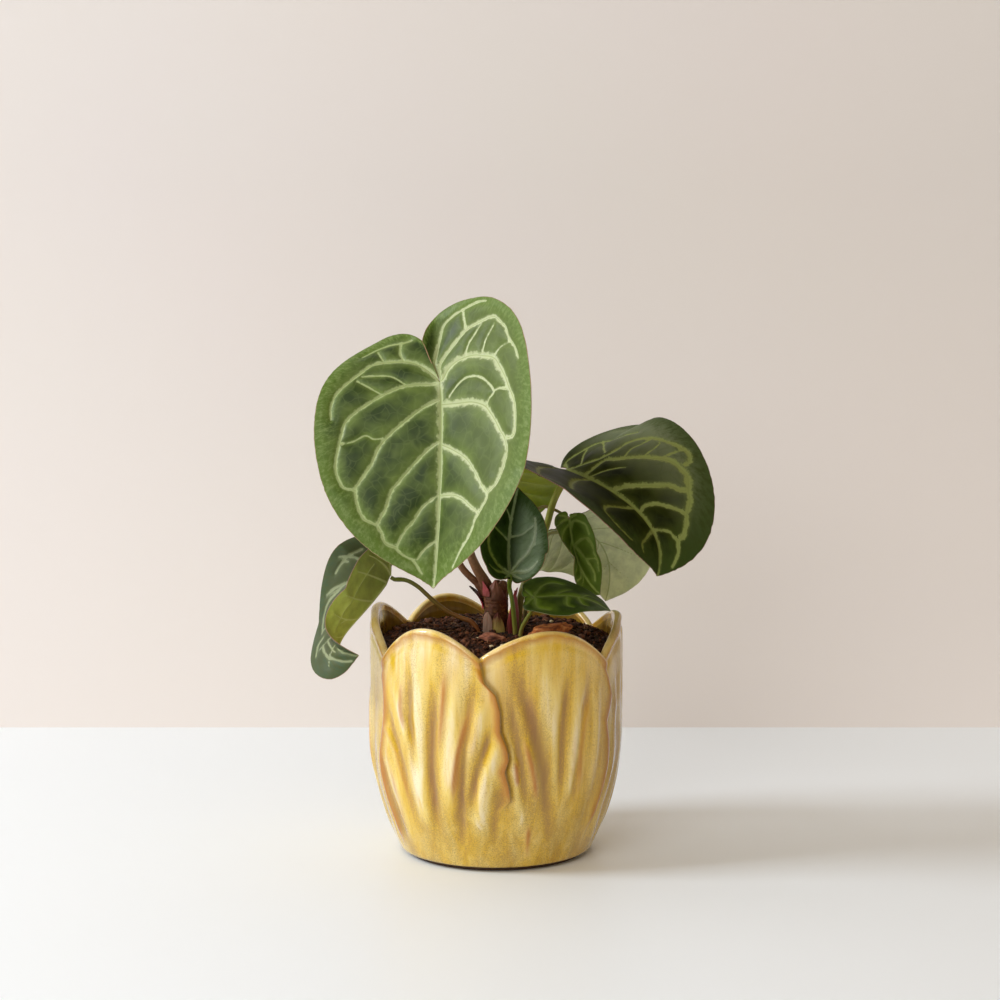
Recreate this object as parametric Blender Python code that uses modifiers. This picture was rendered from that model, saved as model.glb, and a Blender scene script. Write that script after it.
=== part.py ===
# Potted anthurium: a small silver-veined anthurium in a glazed pot shaped as six overlapping petals
# Metres, +Z up. The origin is the middle of the pot's flat base, and the front looks along -Y.

import math

import bpy
import bmesh
import numpy as np
from mathutils import Vector, noise

MM = 0.001
GAP = 0.3 * MM                      # clearance between pieces that touch

# Pot, in millimetres
POT_RADIUS = 75.0                   # the belly, the widest part
BELLY_HEIGHT = 70.0                 # the wall is upright above this
FOOT_RADIUS = 54.0
LOWER_WALL_RADIUS = 57.0            # where the glaze starts, just above the foot
WALL = 5.0
FLOOR = 6.0
RIM_HEIGHT = 130.0                  # height of the turned blank's rim, before the petals are drawn up
PETAL_START = 40.0                  # the petals' tips are drawn up from here
PETAL_STEP = 2.2                    # how far one petal stands over the next
PETAL_BULGE = 1.6
RIB_DEPTH = 0.5
RIBS_A_PETAL = 4
COLUMNS_A_PETAL = 14

# Soil, in millimetres
SOIL_FRONT = 127.0
SOIL_BACK = 131.0
SOIL_MOUND = 5.0
SOIL_LUMP = 1.5
SOIL_COLUMNS = 42
SOIL_RADIUS = 66.4
HOLE_DEPTH = 7.0

# Blades, in millimetres
BLADE_THICKNESS = 0.8
THROAT = 140.0                      # angle from the tip at which a blade's edges start, right at the joint
OVERLAP_LIFT = 80.0                 # curvature, 1/m, with which a lobe that crosses the midrib's line rises

# Petals in order round the pot: angle of the edge that each one starts at (at the rim, at the foot),
# height of the valley there, whether the petal lies over its neighbour at that edge, and its tip's height.
# Angles are in degrees from the front, positive to the right.
PETALS = [
    {"edge": (-62, -66), "valley": 123, "over": True, "tip": 145.5},
    {"edge": (-5, 12), "valley": 130, "over": False, "tip": 145},
    {"edge": (61, 54), "valley": 123, "over": False, "tip": 144},
    {"edge": (124, 116), "valley": 130, "over": False, "tip": 143},
    {"edge": (180, 178), "valley": 128, "over": False, "tip": 145},
    {"edge": (230, 236), "valley": 131.5, "over": True, "tip": 148},
]

# Outline of a blade: its reach from the stalk joint, as a share of the midrib, at angles from the tip
OUTLINE_ANGLE = (0, 4, 9, 16, 25, 40, 58, 77, 95, 115, 135, 155, 168, 180)
OUTLINE_REACH = (1, 0.965, 0.94, 0.915, 0.88, 0.81, 0.715, 0.635, 0.58, 0.55, 0.53, 0.48, 0.40, 0.27)

# Leaves. "midrib" is a Bezier curve from the stalk joint to the tip, and "face" the way the upper side looks.
# Pairs are left and right of the midrib, seen on the upper side with the tip down. "fold" is in degrees
# towards the upper side, and "curl" in degrees for each 10 mm outwards, both at the lobes, the joint,
# halfway and the tip. "lobe_bend" turns the lobes away from the upper side, and "sinus" is the angle
# from the tip at which the outline ends beside the joint.
LEAVES = {
    "front": {
        "midrib": [(-32.5, -30, 285), (-31, -45, 257.5), (-32.5, -61.5, 209), (-35.5, -68, 170.5)],
        "face": (-0.15, -1, 0.35), "fold": [(7, 4, 0, 3), (18, 26, 42, 58)],
        "curl": [(-4, -0.5, 1.5, 1), (5.5, 3.5, -1, -3)], "lobe_bend": (55, -4), "wide": (0.98, 1.02),
        "lobe": (0.85, 0.81), "sinus": (164, 200), "wave": 1.5, "rays": 13, "rings": 7,
    },
    "right": {
        "midrib": [(42, 13.5, 229), (56.5, -23.5, 229), (105, -52.5, 210.5), (93.5, -49, 174.5)],
        "face": (-0.15, -0.5, 0.9), "fold": [(27, 34, 28, 32), (26, 14, 28, 28)],
        "curl": [(0.5, 0, 3, -0.5), (-2.5, -2.5, -3.5, -1)], "lobe_bend": (10, 21), "wide": (0.89, 0.87),
        "lobe": (0.92, 0.51), "sinus": (172, 170), "wave": 1.5, "rays": 12, "rings": 8,
    },
    "left": {
        "midrib": [(-64, 4, 165.5), (-78.5, -14.5, 142.5), (-111, -34, 126), (-80.5, -39.5, 126)],
        "face": (-1, 0.1, 0.55), "fold": [(84, 95, 34, 11), (14, 42, 28, 46)],
        "curl": [(-2, 0, -0.5, -2), (-0.5, 1, -1, 5)], "lobe_bend": (2, -9), "wide": (0.79, 0.6),
        "lobe": (0.96, 0.97), "sinus": (169, 144), "wave": 1.0, "rays": 9, "rings": 10,
    },
    "rear": {
        "midrib": [(-7, 18, 229), (-1, 32, 216), (9, 50, 201), (13, 58, 187)],
        "face": (0.1, 0.7, 0.7), "fold": [(-15, -10, 5, 10), (10, 10, 10, 10)],
        "curl": [(0, 0, 0, 0), (0, 0, 0, 0)], "lobe_bend": (35, 35), "wide": (1.05, 0.9),
        "lobe": (0.4, 0.45), "sinus": (172, 172), "wave": 1.0, "rays": 9, "rings": 5,
    },
    "centre": {
        "midrib": [(8.5, -28, 172.5), (6, -19.5, 185), (8, -22, 202.5), (13, -20, 222.5)],
        "face": (-0.1, -1, 0.3), "fold": [(30, 32, 26, 14), (41, 55, 49, 48)],
        "curl": [(-2, 1, 2, 0.5), (0, 1, -0.5, 0.5)], "lobe_bend": (-2, 19), "wide": (0.9, 0.68),
        "lobe": (0.45, 0.3), "sinus": (170, 166), "wave": 0.8, "rays": 9, "rings": 5,
    },
    "folded": {
        "midrib": [(44, 10.5, 199.5), (45.5, 11, 191), (45.5, 2.5, 170), (62.5, 1.5, 155)],
        "face": (-0.05, -0.9, 0.2), "fold": [(23, 55, 85, 32), (13, 24, 40, 10)],
        "curl": [(-0.5, 0, 2, -0.5), (0, -1, 1.5, -1.5)], "lobe_bend": (14, 12), "wide": (0.51, 0.38),
        "lobe": (0.52, 0.43), "sinus": (172, 166), "wave": 0.8, "rays": 9, "rings": 5,
    },
    "back": {
        "midrib": [(37, 37, 191), (57.5, 53, 193), (78.5, 67, 173), (68.5, 67, 140)],
        "face": (-0.1, 0.75, 0.65), "fold": [(-25, -25, 0, 5), (-10, -10, -5, 0)],
        "curl": [(0, 0, 0, 0), (0, 0, 0, 0)], "lobe_bend": (20, 20), "wide": (0.7, 0.75),
        "lobe": (0.25, 0.4), "sinus": (130, 172), "wave": 1.0, "rays": 9, "rings": 6,
    },
    "low": {
        "midrib": [(22.5, -35.5, 160), (35, -36.5, 160.5), (50.5, -38.5, 165), (67, -41, 152.5)],
        "face": (0, -0.35, 1.1), "fold": [(-6, 2, -4, 5), (6, 4, -9, -18)],
        "curl": [(-1.5, -1, -0.5, -1), (0.5, 0.5, -1.5, 0.5)], "lobe_bend": (-2, -11), "wide": (0.72, 0.8),
        "lobe": (0.4, 0.47), "sinus": (172, 176), "wave": 0.8, "rays": 9, "rings": 5,
    },
}

# Stalks: route from the base up to just short of the blade's joint, and radius at the base and the top.
# The two thick ones grow out of the crown and are one body with it.
STALKS = {
    "front": {"route": [(-2, 0, 152), (-6.6, -1, 163), (-15, -5, 180), (-27, -19, 224), (-34, -22, 262)],
              "radius": (2.9, 2.2)},
    "rear": {"route": [(-3, 2, 148), (-10, 3, 160), (-21.6, 3, 173), (-29, 4, 194), (-20, 6, 214)],
             "radius": (2.3, 1.6)},
    "right": {"route": [(12, 8, 124), (14.5, 8, 150), (20.5, 11, 169), (30, 16.5, 193), (35, 16.5, 210)],
              "radius": (2.4, 2.0)},
    "left": {"route": [(-10.2, -6.4, 126), (-10.6, -6.4, 133.5), (-14.5, -6.4, 139.8), (-22, -5.8, 142.6),
                       (-30.5, -5, 146.8), (-39.2, -4.5, 154), (-47, -3, 160.8), (-54, -1, 164.2)],
             "radius": (1.5, 1.2)},
    "centre": {"route": [(12, -13, 126), (11, -14, 141), (9.5, -16, 155), (8, -17, 163)],
               "radius": (1.5, 1.2)},
    "folded": {"route": [(5, 14, 126), (6, 14, 150), (14, 17.5, 189), (26, 22.5, 204.5), (35, 20.5, 204)],
               "radius": (1.2, 0.9)},
    "back": {"route": [(17, 15, 126), (18.5, 16, 150), (24, 21, 176), (30.5, 27, 187)],
             "radius": (1.3, 1.0)},
    "low": {"route": [(14, -19, 126), (15, -19.5, 137), (18.4, -24, 145), (21, -29, 150)],
            "radius": (1.3, 1.1)},
}
GROWN_TOGETHER = ("front", "rear")
STALK_SAMPLES = 14
STALK_END = 2.5                     # length of the last stretch, in millimetres

# The crown, a short stem: radius and height up its side, in millimetres
CROWN_BASE = 126.0
CROWN_FOOT = 7.6
CROWN_SIDE = [(4.2, 162.5), (6.8, 158), (7.4, 150), (6.9, 142), (CROWN_FOOT, 134), (7.2, CROWN_BASE)]
CROWN_TOP = 163.5

# Scales round the crown: azimuth from the front, radius and height of the base, height, width, lean outwards
SCALES = {
    "sheath_spike": {"azimuth": -100, "radius": 8.15, "foot": 147, "height": 13, "width": 8, "lean": 8,
                     "colour": "sheath"},
    "sheath_red": {"azimuth": 70, "radius": 9.6, "foot": 129, "height": 31, "width": 9, "lean": 4,
                   "colour": "sheath"},
    "sheath_pale": {"azimuth": 5, "radius": 9.6, "foot": 128, "height": 18, "width": 10, "lean": 0.5,
                    "colour": "pale"},
}
SCALE_THICKNESS = 0.8

# Bark lying on the soil: size, place of the middle, turn about each axis in degrees, seed of its roughness
CHIPS = {
    "bark_chip": {"size": (26, 14, 11), "place": (31, -22, 136), "turn": (0, -14, 18), "seed": 1.7},
    "bark_curl": {"size": (15, 8, 6), "place": (-2, -27, 133.5), "turn": (0, 8, -10), "seed": 4.2},
}

COLOURS = {
    "glaze": ((0.62, 0.43, 0.10), 0.2),
    "soil": ((0.045, 0.022, 0.012), 0.95),
    "crown": ((0.20, 0.06, 0.035), 0.6),
    "blade": ((0.05, 0.14, 0.035), 0.45),
    "stalk": ((0.20, 0.22, 0.06), 0.5),
    "sheath": ((0.35, 0.06, 0.04), 0.6),
    "pale": ((0.55, 0.45, 0.18), 0.6),
    "bark": ((0.30, 0.11, 0.035), 0.8),
}


def clear_scene():
    for obj in list(bpy.data.objects):
        bpy.data.objects.remove(obj, do_unlink=True)


def make_collection(name):
    collection = bpy.data.collections.new(name)
    bpy.context.scene.collection.children.link(collection)
    return collection


def make_material(name):
    colour, roughness = COLOURS[name]
    material = bpy.data.materials.new(name)
    material.use_nodes = True
    shader = material.node_tree.nodes["Principled BSDF"]
    shader.inputs["Base Color"].default_value = (*colour, 1)
    shader.inputs["Roughness"].default_value = roughness
    shader.inputs["Metallic"].default_value = 0
    return material


def add_object(name, mesh, collection, material):
    obj = bpy.data.objects.new(name, mesh)
    obj.data.materials.append(material)
    collection.objects.link(obj)
    return obj


def make_cutter(obj):
    obj.hide_render = True
    obj.display_type = "WIRE"


def bake(obj):
    """The object's mesh with its modifiers applied, which are then taken off."""
    graph = bpy.context.evaluated_depsgraph_get()
    graph.update()
    mesh = bpy.data.meshes.new_from_object(obj.evaluated_get(graph))
    obj.modifiers.clear()
    obj.data = mesh
    return mesh


def add_boolean(obj, operation, other):
    modifier = obj.modifiers.new(operation.lower(), "BOOLEAN")
    modifier.operation = operation
    modifier.solver = "EXACT"
    if isinstance(other, bpy.types.Collection):
        modifier.operand_type = "COLLECTION"
        modifier.collection = other
    else:
        modifier.object = other
    return modifier


def smooth(value):
    value = np.clip(value, 0, 1)
    return value * value * (3 - 2 * value)


# Pot

def outer_radius(height):
    """Half width of the turned blank, in millimetres."""
    share = min(height / BELLY_HEIGHT, 1)
    return LOWER_WALL_RADIUS + (POT_RADIUS - LOWER_WALL_RADIUS) * (1 - (1 - share) ** 1.7)


def pot_profile():
    """Outline of the turned blank as (radius, height), from the rim down outside and up again inside."""
    outer = [(outer_radius(z) - (0.7 if z == RIM_HEIGHT - 1 else 0), z)
             for z in (129, 124, 114, 100, 86, 70, 54, 38, 22, 10, 3.5)]
    foot = [(FOOT_RADIUS + 0.6, 2.0), (FOOT_RADIUS, 0.0), (48, 0.0), (46, 1.2), (44, 0.0), (0.0, 0.0)]
    inner = [(0.0, FLOOR), (44, FLOOR), (outer_radius(18) - WALL - 1, 16)]
    inner += [(outer_radius(z) - WALL - 1, z) for z in (40, 70, 100, 120)]
    rim = [(POT_RADIUS - WALL, 128), (POT_RADIUS - WALL + 1.5, RIM_HEIGHT), (POT_RADIUS - 1.8, RIM_HEIGHT + 0.2)]
    return outer + foot + inner + rim


def petal_at(column):
    """The petal that a column lies on, the next one, and the share of the way across."""
    index, step = divmod(column, COLUMNS_A_PETAL)
    petal = PETALS[index % len(PETALS)]
    following = PETALS[(index + 1) % len(PETALS)]
    crowded = (0, 0.03, 0.10, 0.19, 0.28, 0.37, 0.46, 0.54, 0.63, 0.72, 0.81, 0.90, 0.97, 0.995)
    return petal, following, crowded[step]


def petal_point(column, radius, height, inside):
    """Where a point of the turned blank lies once the petals are pressed in and drawn up."""
    petal, following, across = petal_at(column)
    up = min(height / RIM_HEIGHT, 1)
    start = petal["edge"][1] + (petal["edge"][0] - petal["edge"][1]) * up
    end = following["edge"][1] + (following["edge"][0] - following["edge"][1]) * up
    if end < start:
        end += 360
    angle = math.radians(start + (end - start) * across)

    arch = math.sin(math.pi * across) ** 0.9
    base = petal["valley"] + (following["valley"] - petal["valley"]) * across
    rim = base + (petal["tip"] - (petal["valley"] + following["valley"]) / 2) * arch
    drawn = smooth((height - PETAL_START) / (RIM_HEIGHT - PETAL_START)) if height > PETAL_START else 0
    lifted = height + (rim - RIM_HEIGHT) * drawn

    first = PETAL_STEP / 2 if petal["over"] else -PETAL_STEP / 2
    last = -PETAL_STEP / 2 if following["over"] else PETAL_STEP / 2
    level = first * (1 - smooth(across / 0.3)) + last * smooth((across - 0.7) / 0.3)
    fan = (across - 0.5) * (1.25 - 0.3 * up)
    ribs = RIB_DEPTH * math.cos(2 * math.pi * RIBS_A_PETAL * fan) * arch
    relief = (level + PETAL_BULGE * (arch - 0.6) + ribs) * smooth(up * 5)
    if inside:
        relief = (level + PETAL_BULGE * (arch - 0.6)) * smooth((height - 120) / 8)
    reach = (radius + relief) * MM if radius > 0 else 0
    return Vector((reach * math.sin(angle), -reach * math.cos(angle), lifted * MM))


def build_pot(collection, material):
    profile = pot_profile()
    steps = COLUMNS_A_PETAL * len(PETALS)
    mesh = bpy.data.meshes.new("pot")
    mesh.from_pydata([(r * MM, 0, z * MM) for r, z in profile], [(k, k + 1) for k in range(len(profile) - 1)]
                     + [(len(profile) - 1, 0)], [])
    pot = add_object("pot", mesh, collection, material)
    screw = pot.modifiers.new("turned", "SCREW")
    screw.angle = math.tau
    screw.steps = steps
    screw.render_steps = steps
    screw.use_merge_vertices = True
    screw.merge_threshold = 0.00001
    bake(pot)

    inner_start = next(k for k, point in enumerate(profile) if point == (0.0, FLOOR))
    for vertex in pot.data.vertices:
        x, y, z = vertex.co
        radius = math.hypot(x, y) / MM
        row = min(range(len(profile)), key=lambda k: abs(profile[k][0] - radius) + abs(profile[k][1] - z / MM))
        column = round(math.degrees(math.atan2(y, x)) % 360 / 360 * steps) % steps
        inside = row >= inner_start and row < len(profile) - 1
        vertex.co = petal_point(column, profile[row][0], profile[row][1], inside)
    pot.data.shade_smooth()
    return pot


# Soil

def soil_height(x, y):
    """Height of the soil's top, in millimetres, for a place in millimetres."""
    share = math.hypot(x, y) / SOIL_RADIUS
    slope = (SOIL_FRONT + SOIL_BACK) / 2 + (SOIL_BACK - SOIL_FRONT) / 2 * y / SOIL_RADIUS
    lump = noise.noise(Vector((x * 0.09, y * 0.09, 3.1))) * SOIL_LUMP * (1 - share ** 4)
    return slope + SOIL_MOUND * (1 - share * share) + lump


def build_soil(collection, holes, material):
    bm = bmesh.new()
    shares = (1.0, 0.95, 0.85, 0.72, 0.58, 0.44, 0.3, 0.16)
    walls = [(outer_radius(z) - WALL - 2, z) for z in (18, 40, 70, 100)]
    loops = []
    for radius, z in walls:
        loops.append([(radius, z)] * SOIL_COLUMNS)
    for share in shares:
        loops.append([(SOIL_RADIUS * share, None)] * SOIL_COLUMNS)
    rows = []
    for loop in loops:
        row = []
        for k, (radius, z) in enumerate(loop):
            angle = math.tau * k / SOIL_COLUMNS
            x, y = radius * math.sin(angle), -radius * math.cos(angle)
            row.append(bm.verts.new((x * MM, y * MM, (soil_height(x, y) if z is None else z) * MM)))
        rows.append(row)
    for low, high in zip(rows, rows[1:]):
        for k in range(SOIL_COLUMNS):
            after = (k + 1) % SOIL_COLUMNS
            bm.faces.new((low[k], low[after], high[after], high[k]))
    bm.faces.new(list(reversed(rows[0])))
    centre = bm.verts.new((0, 0, soil_height(0, 0) * MM))
    for k in range(SOIL_COLUMNS):
        bm.faces.new((rows[-1][k], rows[-1][(k + 1) % SOIL_COLUMNS], centre))
    bmesh.ops.triangulate(bm, faces=bm.faces[:])
    mesh = bpy.data.meshes.new("soil")
    bm.to_mesh(mesh)
    bm.free()
    soil = add_object("soil", mesh, collection, material)
    add_boolean(soil, "DIFFERENCE", holes)
    return soil


# Leaves

def bezier(points, count):
    share = np.linspace(0, 1, count)[:, None]
    p0, p1, p2, p3 = (np.array(point, float) * MM for point in points)
    rest = 1 - share
    return rest ** 3 * p0 + 3 * rest ** 2 * share * p1 + 3 * rest * share ** 2 * p2 + share ** 3 * p3


def unit(vectors):
    return vectors / np.linalg.norm(vectors, axis=-1, keepdims=True)


def midrib_frame(leaf):
    """Distance along the midrib, place, direction and upper-side normal, carried along without twist."""
    places = bezier(leaf["midrib"], 160)
    along = np.concatenate([[0], np.cumsum(np.linalg.norm(np.diff(places, axis=0), axis=1))])
    ahead = unit(np.gradient(places, along, axis=0))
    normal = np.array(leaf["face"], float)
    normals = []
    for direction in ahead:
        normal = normal - direction * (normal @ direction)
        normal = normal / np.linalg.norm(normal)
        normals.append(normal)
    return along, places, ahead, np.array(normals)


def spine(leaf, side):
    """The midrib's frame, carried on backwards through the lobe on one side."""
    along, places, ahead, normals = midrib_frame(leaf)
    length = along[-1]
    bend = math.radians(leaf["lobe_bend"][side])
    count = 40
    step = 0.6 * length / count
    place, forward, normal = places[0], ahead[0], normals[0]
    rows = []
    for k in range(count):
        turned = bend * (k + 0.5) / count
        place = place - (forward * math.cos(turned) + normal * math.sin(turned)) * step
        turned = bend * (k + 1) / count
        rows.append((-step * (k + 1), place, forward * math.cos(turned) + normal * math.sin(turned),
                     normal * math.cos(turned) - forward * math.sin(turned)))
    rows.reverse()
    back = [np.array([row[k] for row in rows]) for k in range(4)]
    return [np.concatenate([old, new]) for old, new in zip(back, (along, places, ahead, normals))]


def reach_at(leaf, side, angles):
    """Distance from the joint to the margin, as a share of the midrib, at angles from the tip."""
    sinus = leaf["sinus"][side]
    scaled = np.where(angles > 90, 90 + (angles - 90) * 90 / (sinus - 90), angles)
    stations = np.array(OUTLINE_ANGLE, float)
    shares = np.array(OUTLINE_REACH, float)
    slopes = np.gradient(shares, stations)
    slopes[0] = (shares[1] - shares[0]) / (stations[1] - stations[0])
    k = np.clip(np.searchsorted(stations, scaled) - 1, 0, len(stations) - 2)
    span = stations[k + 1] - stations[k]
    t = (scaled - stations[k]) / span
    reach = ((1 + 2 * t) * (1 - t) ** 2 * shares[k] + t * (1 - t) ** 2 * span * slopes[k]
             + t * t * (3 - 2 * t) * shares[k + 1] + t * t * (t - 1) * span * slopes[k + 1])
    sideways = np.sin(np.radians(np.minimum(scaled, 90))) ** 1.3
    reach = reach * (1 + (leaf["wide"][side] - 1) * sideways)
    return reach * (1 + (leaf["lobe"][side] - 1) * smooth((scaled - 90) / 60))


def blade_points(leaf, side, shares, angles):
    """Places on the middle surface of a blade, for shares of the reach and angles from the tip."""
    along, places, ahead, normals = spine(leaf, side)
    length = along[-1]
    opening = THROAT + (leaf["sinus"][side] - THROAT) * smooth(shares / 0.7)
    turned = angles * opening / leaf["sinus"][side]
    reach = reach_at(leaf, side, angles) * shares * length
    across = reach * np.sin(np.radians(turned))
    forward = reach * np.cos(np.radians(turned))

    def carried(table):
        return np.stack([np.interp(forward, along, table[:, k]) for k in range(3)], -1)

    place = carried(places)
    direction = unit(carried(ahead))
    normal = unit(carried(normals))
    sideways = np.cross(normal, direction) * (1 if side else -1)
    stations = (-0.45, 0, 0.5, 1)
    fold = np.radians(np.interp(forward / length, stations, leaf["fold"][side]))
    curl = np.radians(np.interp(forward / length, stations, leaf["curl"][side])) / (10 * MM)
    curl = np.where(np.abs(curl) < 0.001, 0.001, curl)
    level = (np.sin(fold + curl * across) - np.sin(fold)) / curl
    raised = (np.cos(fold) - np.cos(fold + curl * across)) / curl
    ripple = np.sin(np.radians(angles * 5) + 2.1 * side) * np.clip(angles / 25, 0, 1)
    raised = raised + leaf["wave"] * MM * shares ** 3 * ripple
    raised = raised + OVERLAP_LIFT * np.minimum(across, 0) ** 2
    return place + sideways * level[:, None] + normal * raised[:, None]


def build_blade(name, leaf, collection, material):
    """A heart-shaped fan of rays from the stalk joint, given its thickness by Solidify."""
    rays, rings = leaf["rays"], leaf["rings"]
    bm = bmesh.new()
    joint = bm.verts.new(np.array(leaf["midrib"][0]) * MM)
    fans = []
    for side in (0, 1):
        rows = []
        for k in range(1, rings + 1):
            share = (k / rings) ** 0.9
            angles = np.array([leaf["sinus"][side] * (step / rays) for step in range(rays + 1)])
            points = blade_points(leaf, side, np.full(rays + 1, share), angles)
            rows.append([bm.verts.new(point) for point in points])
        fans.append(rows)
    for row, other in zip(fans[0], fans[1]):
        bm.verts.remove(other[0])
        other[0] = row[0]
    for side, rows in enumerate(fans):
        for k in range(rays):
            corners = [(joint, rows[0][k], rows[0][k + 1])]
            for low, high in zip(rows, rows[1:]):
                corners.append((low[k], high[k], high[k + 1]))
                corners.append((low[k], high[k + 1], low[k + 1]))
            for corner in corners:
                bm.faces.new(corner if side else tuple(reversed(corner)))
    mesh = bpy.data.meshes.new(name)
    bm.to_mesh(mesh)
    bm.free()
    blade = add_object(name, mesh, collection, material)
    solid = blade.modifiers.new("thickness", "SOLIDIFY")
    solid.thickness = BLADE_THICKNESS * MM
    solid.offset = 0
    blade.data.shade_smooth()
    return blade


# Stalks, crown and scales

def smooth_route(points, count):
    """Evenly spread points on a smooth curve through the given ones."""
    points = [Vector(point) * MM for point in points]
    padded = [points[0] * 2 - points[1]] + points + [points[-1] * 2 - points[-2]]
    fine = []
    for k in range(len(points) - 1):
        a, b, c, d = padded[k:k + 4]
        for step in range(12):
            t = step / 12
            fine.append(0.5 * (2 * b + (c - a) * t + (2 * a - 5 * b + 4 * c - d) * t * t
                               + (3 * b - a - 3 * c + d) * t ** 3))
    fine.append(points[-1])
    lengths = [0.0]
    for first, second in zip(fine, fine[1:]):
        lengths.append(lengths[-1] + (second - first).length)
    places = np.array(fine)
    wanted = np.linspace(0, lengths[-1], count)
    return [Vector([np.interp(s, lengths, places[:, k]) for k in range(3)]) for s in wanted]


def stalk_route(name):
    """The stalk's points, with its last stretch square to the blade's underside at the joint."""
    leaf, stalk = LEAVES[name], STALKS[name]
    normal = Vector(midrib_frame(leaf)[3][0])
    joint = Vector(leaf["midrib"][0])
    hollow = 7 + max(0, -min(leaf["fold"][0][:2] + leaf["fold"][1][:2]))
    depth = BLADE_THICKNESS / 2 + GAP / MM + stalk["radius"][1] * math.tan(math.radians(hollow))
    end = joint - normal * depth
    below = end - normal * STALK_END
    return smooth_route(stalk["route"] + [tuple(below)], STALK_SAMPLES - 1) + [end * MM]


def tube_curve(name, points, radii, collection):
    curve = bpy.data.curves.new(name, "CURVE")
    curve.dimensions = "3D"
    curve.bevel_depth = 1
    curve.bevel_resolution = 2
    curve.use_fill_caps = True
    spline = curve.splines.new("POLY")
    spline.points.add(len(points) - 1)
    for k, (target, point) in enumerate(zip(spline.points, points)):
        target.co = (*point, 1)
        share = k / (len(points) - 1)
        target.radius = (radii[0] + (radii[1] - radii[0]) * share) * MM
    obj = bpy.data.objects.new(name, curve)
    collection.objects.link(obj)
    return obj


def curve_to_mesh(obj, collection, material):
    """A mesh object in place of a curve, with its caps welded."""
    graph = bpy.context.evaluated_depsgraph_get()
    graph.update()
    mesh = bpy.data.meshes.new_from_object(obj.evaluated_get(graph))
    bm = bmesh.new()
    bm.from_mesh(mesh)
    bmesh.ops.remove_doubles(bm, verts=bm.verts, dist=0.00001)
    bm.to_mesh(mesh)
    bm.free()
    name, place = obj.name, obj.matrix_world.copy()
    bpy.data.objects.remove(obj, do_unlink=True)
    solid = add_object(name, mesh, collection, material)
    solid.matrix_world = place
    solid.data.shade_smooth()
    return solid


def turned_body(name, profile, collection, material, steps):
    mesh = bpy.data.meshes.new(name)
    mesh.from_pydata([(r * MM, 0, z * MM) for r, z in profile],
                     [(k, k + 1) for k in range(len(profile) - 1)], [])
    obj = add_object(name, mesh, collection, material)
    screw = obj.modifiers.new("turned", "SCREW")
    screw.angle = math.tau
    screw.steps = steps
    screw.render_steps = steps
    screw.use_merge_vertices = True
    screw.merge_threshold = 0.00001
    return obj


def build_crown(collection, guides, material):
    """The short stem with its two thick stalks grown out of it."""
    profile = [(0, CROWN_TOP)] + CROWN_SIDE + [(0, CROWN_BASE)]
    crown = turned_body("crown", profile, collection, material, 16)
    bake(crown)
    for name in GROWN_TOGETHER:
        tube = tube_curve("stalk_" + name, stalk_route(name), STALKS[name]["radius"], guides)
        tube = curve_to_mesh(tube, guides, material)
        add_boolean(crown, "UNION", tube)
        bake(crown)
        bpy.data.objects.remove(tube, do_unlink=True)
    crown.data.shade_smooth()
    return crown


def build_scale(name, scale, collection, material):
    """A pointed papery scale, curved round the crown."""
    bm = bmesh.new()
    rows = []
    for k in range(6):
        up = k / 5
        half = scale["width"] / 2 * (1 - up ** 2.2) + 0.5
        radius = scale["radius"] + scale["lean"] * up ** 2
        row = []
        for step in range(5):
            angle = math.radians(scale["azimuth"]) + (step / 4 - 0.5) * 2 * half / scale["radius"]
            place = (radius * math.sin(angle), -radius * math.cos(angle), scale["foot"] + scale["height"] * up)
            row.append(bm.verts.new(Vector(place) * MM))
        rows.append(row)
    for low, high in zip(rows, rows[1:]):
        for a, b, c, d in zip(low, low[1:], high[1:], high):
            bm.faces.new((a, b, c))
            bm.faces.new((a, c, d))
    mesh = bpy.data.meshes.new(name)
    bm.to_mesh(mesh)
    bm.free()
    obj = add_object(name, mesh, collection, material)
    solid = obj.modifiers.new("thickness", "SOLIDIFY")
    solid.thickness = SCALE_THICKNESS * MM
    solid.offset = 0
    obj.data.shade_smooth()
    return obj


# Bark on the soil

def rough_chip(name, chip, collection, material):
    """A broken chip: a coarse ball, pressed to size and knocked about."""
    bm = bmesh.new()
    bmesh.ops.create_icosphere(bm, subdivisions=2, radius=0.5)
    for vertex in bm.verts:
        push = 1 + 0.35 * noise.noise(vertex.co * 3.1 + Vector((chip["seed"], 0, 0)))
        vertex.co = Vector([along * side for along, side in zip(vertex.co, chip["size"])]) * push * MM
    mesh = bpy.data.meshes.new(name)
    bm.to_mesh(mesh)
    bm.free()
    obj = add_object(name, mesh, collection, material)
    obj.location = Vector(chip["place"]) * MM
    obj.rotation_euler = [math.radians(angle) for angle in chip["turn"]]
    return obj


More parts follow.
